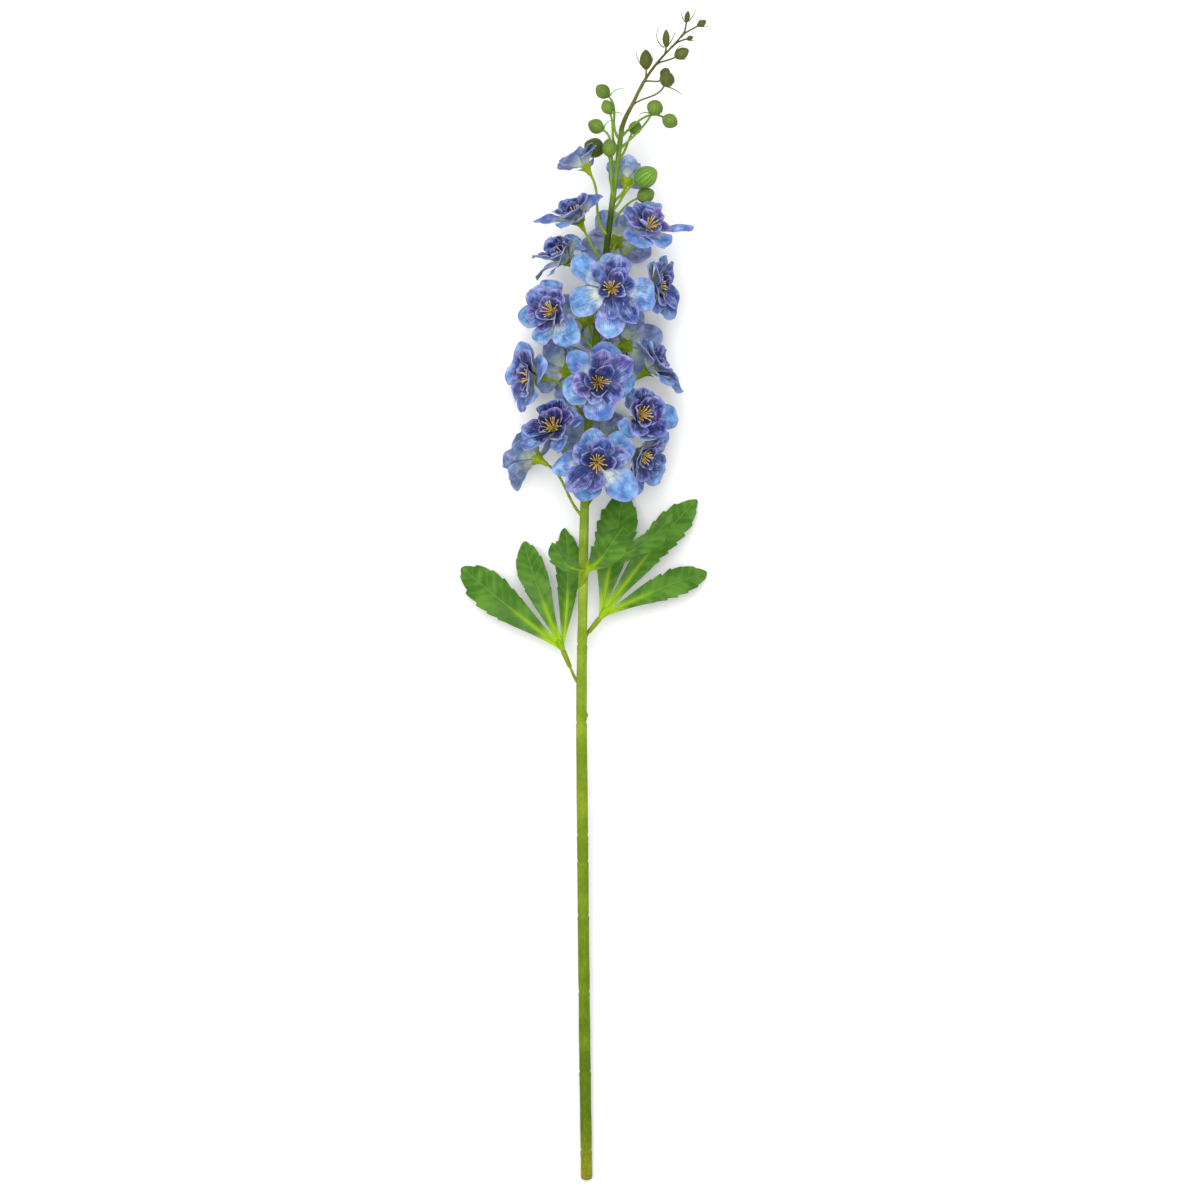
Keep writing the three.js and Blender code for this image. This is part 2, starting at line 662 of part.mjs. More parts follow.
put("main_stem", stemSkin(0), FINISHES.stem);
put("tip_spray", tipSkin(), FINISHES.tip);
FLORETS.forEach((floret, index) => put(`${floretName(index)}_stalk`, stalkSkin(floret), FINISHES.stalk));
BUDS.forEach((bud, index) => put(budName(index), budSkin(bud), FINISHES.bud));
for (const [name, leaf] of Object.entries(LEAVES)) {
  put(name, leafSkin(leaf), FINISHES.leaf);
  put(`${name}_petiole`, petioleSkin(leaf), FINISHES.stem);
}

// Where a floret's petals touch another floret's stalk, a bud or a leaf, they are cut clear of it.
const firm = [...geometries];
FLORETS.forEach((floret, index) => {
  let petals = petalsSkin(floret);
  for (const [name, geometry] of firm)
    if (name !== `${floretName(index)}_stalk` && overlapping(petals, geometry))
      petals = cut(petals, geometry);
  put(`${floretName(index)}_petals`, petals, FINISHES.petals);
});

const group = new THREE.Group();
for (const [name, geometry] of geometries) {
  const mesh = new THREE.Mesh(geometry, new THREE.MeshStandardMaterial(finishes.get(name)));
  geometry.computeVertexNormals();
  mesh.name = name;
  group.add(mesh);
}
const box = new THREE.Box3().setFromObject(group);
group.position.set(-(box.min.x + box.max.x) / 2, -(box.min.y + box.max.y) / 2, -box.min.z);

export default group;
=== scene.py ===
"""The looks of an artificial delphinium stem that lies on a pale table, seen from straight above.

Metres, in the model's own frame: +Y runs along the stem to its tip, +X is to the right and +Z is up. Every
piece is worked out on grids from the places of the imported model's nodes.
"""

import math

import bmesh
import bpy
import numpy as np
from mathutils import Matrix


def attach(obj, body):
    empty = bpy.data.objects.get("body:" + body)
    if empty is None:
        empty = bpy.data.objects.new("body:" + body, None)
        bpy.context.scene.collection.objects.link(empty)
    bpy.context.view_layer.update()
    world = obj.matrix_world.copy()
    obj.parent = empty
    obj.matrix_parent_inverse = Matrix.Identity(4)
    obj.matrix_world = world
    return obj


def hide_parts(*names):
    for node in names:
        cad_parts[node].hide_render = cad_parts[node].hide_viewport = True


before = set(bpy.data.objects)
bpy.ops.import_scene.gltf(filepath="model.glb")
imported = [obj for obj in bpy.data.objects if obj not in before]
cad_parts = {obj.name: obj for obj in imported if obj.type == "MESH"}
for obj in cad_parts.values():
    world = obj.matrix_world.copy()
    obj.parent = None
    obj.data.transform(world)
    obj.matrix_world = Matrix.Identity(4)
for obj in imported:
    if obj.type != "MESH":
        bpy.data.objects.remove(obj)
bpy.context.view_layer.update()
MM = 0.001

# ---- camera, table and light ---------------------------------------------------------------------
# The stem lies on a plain white table. The camera hangs over its middle and looks straight down, a long
# lens away, and large soft panels light it from above and from both sides.

VIEW_WIDTH = 0.9
CAMERA_HEIGHT = 3.2
CAMERA_SIDE = 0.012
SENSOR = 0.036

camera = bpy.data.objects.new("camera", bpy.data.cameras.new("camera"))
bpy.context.collection.objects.link(camera)
camera.location = (CAMERA_SIDE, 0, CAMERA_HEIGHT)
camera.data.sensor_width = SENSOR * 1000
camera.data.lens = SENSOR * 1000 * (CAMERA_HEIGHT - 0.045) / VIEW_WIDTH
camera.data.clip_end = 20
bpy.context.scene.camera = camera
bpy.context.scene.view_settings.view_transform = "Standard"

TABLE = 6.0
table = bpy.data.objects.new("table", bpy.data.meshes.new("table"))
table_corners = [(-TABLE, -TABLE, 0), (TABLE, -TABLE, 0), (TABLE, TABLE, 0), (-TABLE, TABLE, 0)]
table.data.from_pydata(table_corners, [], [(0, 1, 2, 3)])
bpy.context.collection.objects.link(table)
table_white = bpy.data.materials.new("table_white")
table_white.use_nodes = True
table_white.node_tree.nodes["Principled BSDF"].inputs["Base Color"].default_value = (0.94, 0.94, 0.94, 1)
table_white.node_tree.nodes["Principled BSDF"].inputs["Roughness"].default_value = 0.9
table.data.materials.append(table_white)

LIT_PLACE = (0.0, 0.1, 0.05)
for name, place, size, power in [
    ("panel_above", (-0.35, 0.5, 2.3), 1.9, 55),
    ("panel_left", (-2.0, -0.4, 1.5), 1.6, 16),
    ("panel_right", (1.9, -0.8, 1.7), 1.6, 9),
]:
    light = bpy.data.objects.new(name, bpy.data.lights.new(name, "AREA"))
    light.data.size = size
    light.data.energy = power
    light.location = place
    # A light shines along its own -Z, which is turned here to look at the middle of the stem.
    aim = np.array(LIT_PLACE) - np.array(place)
    light.rotation_euler = (math.acos(-aim[2] / np.linalg.norm(aim)), 0, math.atan2(aim[0], -aim[1]))
    bpy.context.collection.objects.link(light)

world = bpy.data.worlds.new("studio")
bpy.context.scene.world = world
world.use_nodes = True
world.node_tree.nodes["Background"].inputs["Color"].default_value = (1, 1, 1, 1)
world.node_tree.nodes["Background"].inputs["Strength"].default_value = 0.72

# ---- main stem -----------------------------------------------------------------------------------
# One moulding of green plastic over a core, pinched in where the mould held the core. Faint ridges run
# along it, a few warts stand on it, and it is cut clean and rounded at the foot.


def unit(vectors):
    """Each vector divided by its own length."""
    return vectors / np.maximum(np.linalg.norm(vectors, axis=-1, keepdims=True), 1e-12)


def smoothstep(low, high, value):
    """0 below low, 1 above high, and 3x^2 - 2x^3 between them."""
    x = np.clip((value - low) / (high - low), 0, 1)
    return x * x * (3 - 2 * x)


def through(knots, values, where):
    """A smooth curve through values at knots: each span is the cubic whose slope at each end is that of
    the line between the two knots on either side."""
    slopes = np.gradient(values, knots, axis=0)
    span = np.clip(np.searchsorted(knots, where) - 1, 0, len(knots) - 2)
    width = knots[span + 1] - knots[span]
    x = ((where - knots[span]) / width)[:, None]
    width = width[:, None]
    return (
        (1 + 2 * x) * (1 - x) ** 2 * values[span]
        + x * (1 - x) ** 2 * width * slopes[span]
        + x**2 * (3 - 2 * x) * values[span + 1]
        - x**2 * (1 - x) * width * slopes[span + 1]
    )


def node_corners(name):
    """The different corners of a CAD node, whose triangles are loose, rounded to a micrometre."""
    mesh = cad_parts[name].data
    corners = np.empty(len(mesh.vertices) * 3)
    mesh.vertices.foreach_get("co", corners)
    return np.unique(np.round(corners.reshape(-1, 3), 6), axis=0)


def piece_from_grids(name, grids, materials, uv=None, around=False, attributes=None):
    """One object from grids of points, shaped (grids, rows, columns, 3), as quads between neighbouring
    points.

    around joins the last column to the first. uv, shaped like the grids with two values, has one more
    column where they are joined. Each attribute is one value a point. Rows that shrink to a point are
    merged into it.
    """
    count, rows, columns = grids.shape[:3]
    index = np.arange(count * rows * columns).reshape(count, rows, columns)
    if around:
        index = np.concatenate([index, index[:, :, :1]], axis=2)
    if uv is None:
        shares = np.linspace(0, 1, rows), np.linspace(0, 1, index.shape[2])
        uv = np.stack(np.meshgrid(*shares, indexing="ij"), -1)
    uv = np.broadcast_to(uv, (*index.shape, 2)).reshape(-1, 2)
    place = np.arange(index.size).reshape(index.shape)

    def quads(of):
        return np.stack([of[:, :-1, :-1], of[:, 1:, :-1], of[:, 1:, 1:], of[:, :-1, 1:]], -1).reshape(-1, 4)

    corners = quads(index)
    mesh = bpy.data.meshes.new(name)
    mesh.vertices.add(count * rows * columns)
    mesh.vertices.foreach_set("co", grids.reshape(-1))
    mesh.loops.add(corners.size)
    mesh.loops.foreach_set("vertex_index", corners.reshape(-1))
    mesh.polygons.add(len(corners))
    mesh.polygons.foreach_set("loop_start", np.arange(0, corners.size, 4))
    mesh.update(calc_edges=True)
    mesh.uv_layers.new(name="along_across").data.foreach_set("uv", uv[quads(place).reshape(-1)].reshape(-1))
    for key, values in (attributes or {}).items():
        layer = mesh.attributes.new(key, "FLOAT", "POINT")
        points = np.broadcast_to(values, grids.shape[:3]).reshape(-1)
        layer.data.foreach_set("value", points.astype(np.float32))
    shape = bmesh.new()
    shape.from_mesh(mesh)
    bmesh.ops.remove_doubles(shape, verts=shape.verts, dist=2e-6)
    bmesh.ops.dissolve_degenerate(shape, edges=shape.edges, dist=1e-7)
    if around:
        bmesh.ops.recalc_face_normals(shape, faces=shape.faces)
    shape.to_mesh(mesh)
    shape.free()
    mesh.polygons.foreach_set("use_smooth", np.ones(len(mesh.polygons), bool))
    for material in materials:
        mesh.materials.append(material)
    piece = bpy.data.objects.new(name, mesh)
    bpy.context.collection.objects.link(piece)
    return piece


def place_piece(piece, node):
    """The piece rides with the one body and stands for a CAD node, which is hidden."""
    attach(piece, "root")
    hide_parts(node)


def moulding(name, grids, plastic, node, uv=None):
    """A closed moulding from grids of rings, placed for its CAD node."""
    piece = piece_from_grids(name, grids, [plastic], uv=uv, around=True)
    place_piece(piece, node)


def tube(path, radius, sides):
    """Rings round a path: each point plus radius times (cos, sin) of the angle, on two directions square
    to the path that stay square to the plane it bends in. radius is one value a point, or one a point
    and side."""
    tangent = unit(np.gradient(path, axis=0))
    plane = np.cross(tangent[0], tangent[-1])
    if np.linalg.norm(plane) < 1e-3:
        plane = np.cross(tangent[0], (0.3, 0.1, 0.95))
    across = unit(np.cross(plane, tangent))
    other = np.cross(tangent, across)
    angle = np.linspace(0, 2 * np.pi, sides, endpoint=False)
    radius = np.asarray(radius)
    radius = np.broadcast_to(radius if radius.ndim == 2 else radius[:, None], (len(path), sides))[..., None]
    spokes = np.cos(angle)[None, :, None] * across[:, None] + np.sin(angle)[None, :, None] * other[:, None]
    return path[:, None] + radius * spokes


def closed_ends(rings):
    """The rings with their first and last shrunk to their middles, which closes the tube."""
    first = np.broadcast_to(rings[:1].mean(1, keepdims=True), rings[:1].shape)
    last = np.broadcast_to(rings[-1:].mean(1, keepdims=True), rings[-1:].shape)
    return np.concatenate([first, rings, last])


def linear(red, green, blue):
    """A colour as it looks on a screen, 0 to 255, as the linear values that a shader takes."""
    shown = [value / 255 for value in (red, green, blue)]
    return (*(((v + 0.055) / 1.055) ** 2.4 if v > 0.04 else v / 12.92 for v in shown), 1)


def feed(tree, socket, value):
    """An input set to a value, or linked where it is given another node's output."""
    if isinstance(value, bpy.types.NodeSocket):
        tree.links.new(value, socket)
    else:
        socket.default_value = value


def add_node(tree, kind, **inputs):
    """A shader node with its settings and the values of its inputs, the unnamed one as first."""
    made = tree.nodes.new(kind)
    for key, value in inputs.items():
        if key in ("operation", "attribute_name"):
            setattr(made, key, value)
        else:
            feed(tree, made.inputs[0 if key == "first" else key], value)
    return made


def math_node(tree, operation, first, second=0.0, third=0.0, clamp=False):
    """The result of one sum on two or three values or sockets."""
    made = tree.nodes.new("ShaderNodeMath")
    made.operation = operation
    made.use_clamp = clamp
    for socket, value in zip(made.inputs, (first, second, third)):
        feed(tree, socket, value)
    return made.outputs[0]


def ramp(tree, value, low, high):
    """A smooth step of a value, from 0 at low to 1 at high."""
    made = tree.nodes.new("ShaderNodeMapRange")
    made.interpolation_type = "SMOOTHSTEP"
    tree.links.new(value, made.inputs["Value"])
    made.inputs["From Min"].default_value = low
    made.inputs["From Max"].default_value = high
    return made.outputs["Result"]


def mix(tree, share, first, second):
    """One colour blended into another by a share."""
    made = tree.nodes.new("ShaderNodeMix")
    made.data_type = "RGBA"
    # The mix node has one set of sockets for each kind of data: these are its share and its two colours.
    for socket, value in ((0, share), (6, first), (7, second)):
        feed(tree, made.inputs[socket], value)
    return made.outputs[2]


def noise(tree, vector, scale, detail=2.0, roughness=0.5):
    """Smooth noise between about 0.3 and 0.7 at a scale, in marks a metre or a unit of the vector."""
    made = tree.nodes.new("ShaderNodeTexNoise")
    tree.links.new(vector, made.inputs["Vector"])
    made.inputs["Scale"].default_value = scale
    made.inputs["Detail"].default_value = detail
    made.inputs["Roughness"].default_value = roughness
    return made.outputs["Fac"]


def stretched(tree, vector, scale):
    """A vector with each of its three parts multiplied."""
    made = tree.nodes.new("ShaderNodeMapping")
    tree.links.new(vector, made.inputs["Vector"])
    made.inputs["Scale"].default_value = scale
    return made.outputs["Vector"]


def new_group(name, inputs, outputs):
    """An empty node group with its sockets, and its two end nodes."""
    tree = bpy.data.node_groups.new(name, "ShaderNodeTree")
    for label, kind in inputs:
        tree.interface.new_socket(label, in_out="INPUT", socket_type=kind)
    for label, kind in outputs:
        tree.interface.new_socket(label, in_out="OUTPUT", socket_type=kind)
    return tree, tree.nodes.new("NodeGroupInput").outputs, tree.nodes.new("NodeGroupOutput").inputs


def moulded_green_group():
    """Moulded plastic: two greens mixed by soft blotches and by fine streaks along the piece, darker in
    the pores, with a gloss that wanders and a skin of tiny dimples."""
    colour, vector, value = "NodeSocketColor", "NodeSocketVector", "NodeSocketFloat"
    tree, given, out = new_group(
        "moulded_green",
        [("Where", vector), ("Along Across", vector), ("Light", colour)]
        + [("Dark", colour), ("Streaks", value)],
        [("Colour", colour), ("Roughness", value), ("Height", value)],
    )
    blotch = noise(tree, given["Where"], 55, 3)
    fine = noise(tree, given["Where"], 900, 2)
    streak = noise(tree, stretched(tree, given["Along Across"], (3, 26, 1)), 1.0, 3)
    share = math_node(tree, "ADD", blotch, math_node(tree, "MULTIPLY", streak, given["Streaks"]))
    shade = ramp(tree, share, 0.45, 1.05)
    body = mix(tree, shade, given["Light"], given["Dark"])
    pores = ramp(tree, fine, 0.35, 0.6)
    body = mix(tree, math_node(tree, "MULTIPLY", pores, 0.16), body, (0.02, 0.03, 0.004, 1))
    tree.links.new(body, out["Colour"])
    tree.links.new(math_node(tree, "MULTIPLY_ADD", blotch, 0.25, 0.34), out["Roughness"])
    tree.links.new(math_node(tree, "MULTIPLY_ADD", fine, 0.5, streak), out["Height"])
    return tree


MOULDED_GREEN = moulded_green_group()


def new_material(name):
    """A material with its node tree and its Principled shader."""
    material = bpy.data.materials.new(name)
    material.use_nodes = True
    tree = material.node_tree
    return material, tree, tree.nodes["Principled BSDF"]


def add_bump(tree, shader, height, distance):
    """A bump of a height, in metres where the height is 1, on a shader."""
    made = tree.nodes.new("ShaderNodeBump")
    made.inputs["Distance"].default_value = distance
    made.inputs["Strength"].default_value = 1
    tree.links.new(height, made.inputs["Height"])
    tree.links.new(made.outputs["Normal"], shader.inputs["Normal"])


def group_material(name, group_tree, dimple, specular, values, attributes=()):
    """A material whose colour and height come from a node group, given the place, values and point
    attributes."""
    material, tree, shader = new_material(name)
    group = tree.nodes.new("ShaderNodeGroup")
    group.node_tree = group_tree
    coordinates = tree.nodes.new("ShaderNodeTexCoord").outputs
    tree.links.new(coordinates["Object"], group.inputs["Where"])
    if "Along Across" in group.inputs:
        tree.links.new(coordinates["UV"], group.inputs["Along Across"])
    for label, key in attributes:
        attribute = add_node(tree, "ShaderNodeAttribute", attribute_name=key)
        tree.links.new(attribute.outputs["Fac"], group.inputs[label])
    for label, value in values.items():
        feed(tree, group.inputs[label], value(tree) if callable(value) else value)
    tree.links.new(group.outputs["Colour"], shader.inputs["Base Color"])
    if "Roughness" in group.outputs:
        tree.links.new(group.outputs["Roughness"], shader.inputs["Roughness"])
    shader.inputs["Specular IOR Level"].default_value = specular
    add_bump(tree, shader, group.outputs["Height"], dimple)
    return material, shader


def moulded_material(name, light, dark, streaks=0.5):
    """Moulded plastic in a light and a dark green."""
    values = {"Streaks": streaks, "Light": light, "Dark": dark}
    return group_material(name, MOULDED_GREEN, 0.1 * MM, 0.12, values)[0]


def along_stem(stops):
    """A colour that changes along the stem: stops are (metres from the origin along Y, colour)."""

    def build(tree):
        where = tree.nodes.new("ShaderNodeTexCoord").outputs["Object"]
        along = add_node(tree, "ShaderNodeSeparateXYZ", Vector=where).outputs["Y"]
        made = tree.nodes.new("ShaderNodeMapRange")
        tree.links.new(along, made.inputs["Value"])
        low, high = stops[0][0], stops[-1][0]
        made.inputs["From Min"].default_value = low
        made.inputs["From Max"].default_value = high
        colours = tree.nodes.new("ShaderNodeValToRGB")
        tree.links.new(made.outputs["Result"], colours.inputs["Fac"])
        elements = colours.color_ramp.elements
        while len(elements) < len(stops):
            elements.new(0.5)
        for element, (at, colour) in zip(elements, stops):
            element.position = (at - low) / (high - low)
            element.color = colour
        return colours.outputs["Color"]

    return build


# The CAD stem is a loft of ten-sided rings, so its corners in order along Y are its rings.
CAD_STEM_SIDES = 10
stem_corners = node_corners("main_stem")
stem_rings = stem_corners[np.argsort(stem_corners[:, 1])].reshape(-1, CAD_STEM_SIDES, 3)
ring_middles = stem_rings.mean(1)
ring_radii = np.linalg.norm(stem_rings - ring_middles[:, None], axis=-1).mean(1)
PINCH_DROP = 0.3 * MM
is_pinch = np.zeros(len(ring_radii), bool)
is_pinch[2:-1] = np.minimum(ring_radii[1:-2], ring_radii[3:]) - ring_radii[2:-1] > PINCH_DROP
# The places where the line is taken are a few of the rings, so that it bends evenly.
line_rings = np.r_[0, np.arange(3, len(ring_middles) - 1, 3), len(ring_middles) - 1]


def stem_line(along):
    """The stem's middle line at distances along Y."""
    return through(ring_middles[line_rings, 1], ring_middles[line_rings], np.atleast_1d(along))


def stem_radius(along):
    """The stem's radius at distances along Y: the rings' own between the pinches, less a narrow groove
    and a low shoulder at each pinch."""
    plain = ~is_pinch
    radius = np.interp(along, ring_middles[plain, 1], ring_radii[plain])
    for at in ring_middles[is_pinch, 1]:
        radius = radius - 0.5 * MM * np.exp(-(((along - at) / (0.8 * MM)) ** 2))
        radius = radius + 0.22 * MM * np.exp(-(((along - at + 2.6 * MM) / (1.5 * MM)) ** 2))
    return radius


STEM_STEP = 0.9 * MM
STEM_SIDES = 48
CUT_ROUNDING = 2.2 * MM
stem_foot, stem_top = ring_middles[0, 1], ring_middles[-1, 1]
along = np.arange(stem_foot, stem_top, STEM_STEP)
angle = np.linspace(0, 2 * np.pi, STEM_SIDES, endpoint=False)
radius = stem_radius(np.maximum(along, stem_foot + 4 * MM))[:, None] * np.ones(STEM_SIDES)
# Ridges: a few waves round the stem whose places drift slowly along it, and lower ones that come and go.
drift = np.sin(along * 21)[:, None] + 0.6 * np.sin(along * 47 + 1)[:, None]
radius += 0.11 * MM * np.cos(7 * angle + drift) + 0.07 * MM * np.cos(11 * angle - 1.7 * drift + 2)
radius += 0.08 * MM * np.sin(along * 160)[:, None] * np.cos(2 * angle + 9 * along[:, None])
# Scarred skin at one internode, and two warts.
SCAR = (-0.198, 0.011)
scar = np.exp(-(((along - SCAR[0]) / SCAR[1]) ** 4))[:, None]
radius += scar * 0.12 * MM * np.sin(along * 3100)[:, None] * np.cos(5 * angle + 300 * along[:, None])
WARTS = [(-0.087, 0.0, 1.1 * MM), (-0.185, 0.5, 0.5 * MM), (0.035, 2.6, 0.4 * MM)]
for wart_along, wart_angle, wart_height in WARTS:
    away = ((along - wart_along) / (1.6 * MM))[:, None] ** 2 + ((np.cos(angle - wart_angle) - 1) / 0.09) ** 2
    radius += wart_height * np.exp(-away)
rounded = np.clip((along - stem_foot) / CUT_ROUNDING, 0, 1)
radius *= (0.55 + 0.45 * np.sqrt(1 - (1 - rounded) ** 2))[:, None]
stem_grid = closed_ends(tube(stem_line(along), radius, STEM_SIDES))
stem_grid[..., 2] = np.maximum(stem_grid[..., 2], 0.0)
stem_rows = np.linspace(0, 60, len(stem_grid))
stem_uv = np.stack(np.meshgrid(stem_rows, np.linspace(0, 1, STEM_SIDES + 1), indexing="ij"), -1)

STEM_LIGHT = [
    (-0.440, linear(168, 160, 60)),
    (-0.436, linear(150, 160, 30)),
    (-0.40, linear(118, 145, 18)),
    (-0.15, linear(136, 158, 24)),
    (0.02, linear(165, 186, 72)),
    (0.15, linear(120, 145, 30)),
    (0.24, linear(78, 96, 10)),
    (0.285, linear(74, 92, 10)),
    (0.315, linear(138, 170, 68)),
    (0.36, linear(125, 150, 60)),
]
STEM_DARK = [
    (-0.440, linear(120, 110, 20)),
    (-0.40, linear(78, 100, 4)),
    (-0.15, linear(104, 132, 14)),
    (0.02, linear(122, 148, 32)),
    (0.15, linear(80, 104, 8)),
    (0.24, linear(42, 58, 0)),
    (0.285, linear(38, 54, 0)),
    (0.315, linear(96, 132, 34)),
    (0.36, linear(84, 96, 34)),
]
stem_plastic = moulded_material("stem_plastic", along_stem(STEM_LIGHT), along_stem(STEM_DARK), streaks=0.7)
moulding("stem", stem_grid[None], stem_plastic, "main_stem", uv=stem_uv)

# ---- petioles and stalks -------------------------------------------------------------------------
# Thin mouldings that leave the stem at a low angle and bend outward. A leaf's ends in a sleeve that the
# leaf plugs into, and a floret's in a yellow-green cup with five teeth that holds the petals.

STALK_SIDES = 16


def bezier(start, leave, arrive, end, steps):
    """The cubic curve from start to end whose two handles are leave and arrive."""
    t = np.linspace(0, 1, steps)[:, None]
    return (1 - t) ** 3 * start + 3 * (1 - t) ** 2 * t * leave + 3 * (1 - t) * t**2 * arrive + t**3 * end


def stalk_path(corners, end, heading, steps=40):
    """A stalk's line, from inside the stem to its end: it leaves where the CAD stalk comes closest to
    the stem, towards the tip, and arrives along its heading."""
    line = stem_line(corners[:, 1])
    closest = corners[np.argsort(np.linalg.norm(corners - line, axis=1))[:4]].mean(0)
    start = stem_line(closest[1] - 3 * MM)[0]
    span = np.linalg.norm(end - start)
    outward = (end - start) * (1, 0, 1)
    leave = unit(0.75 * unit(outward) + np.array([0, 0.66, 0]))
    return bezier(start, start + 0.4 * span * leave, end - 0.4 * span * heading, end, steps)


def stalk_grid(path, thickness, flare=0.9 * MM):
    """Rings along a stalk, that swell where it leaves the stem and wander a little in thickness."""
    walked = np.r_[0, np.cumsum(np.linalg.norm(np.diff(path, axis=0), axis=1))]
    radius = thickness * (1 + 0.06 * np.sin(walked * 700)) + flare * np.exp(-walked / (5 * MM))
    return tube(path, radius, STALK_SIDES)


stalk_plastic = moulded_material("stalk_plastic", linear(150, 168, 26), linear(106, 128, 8), streaks=0.6)
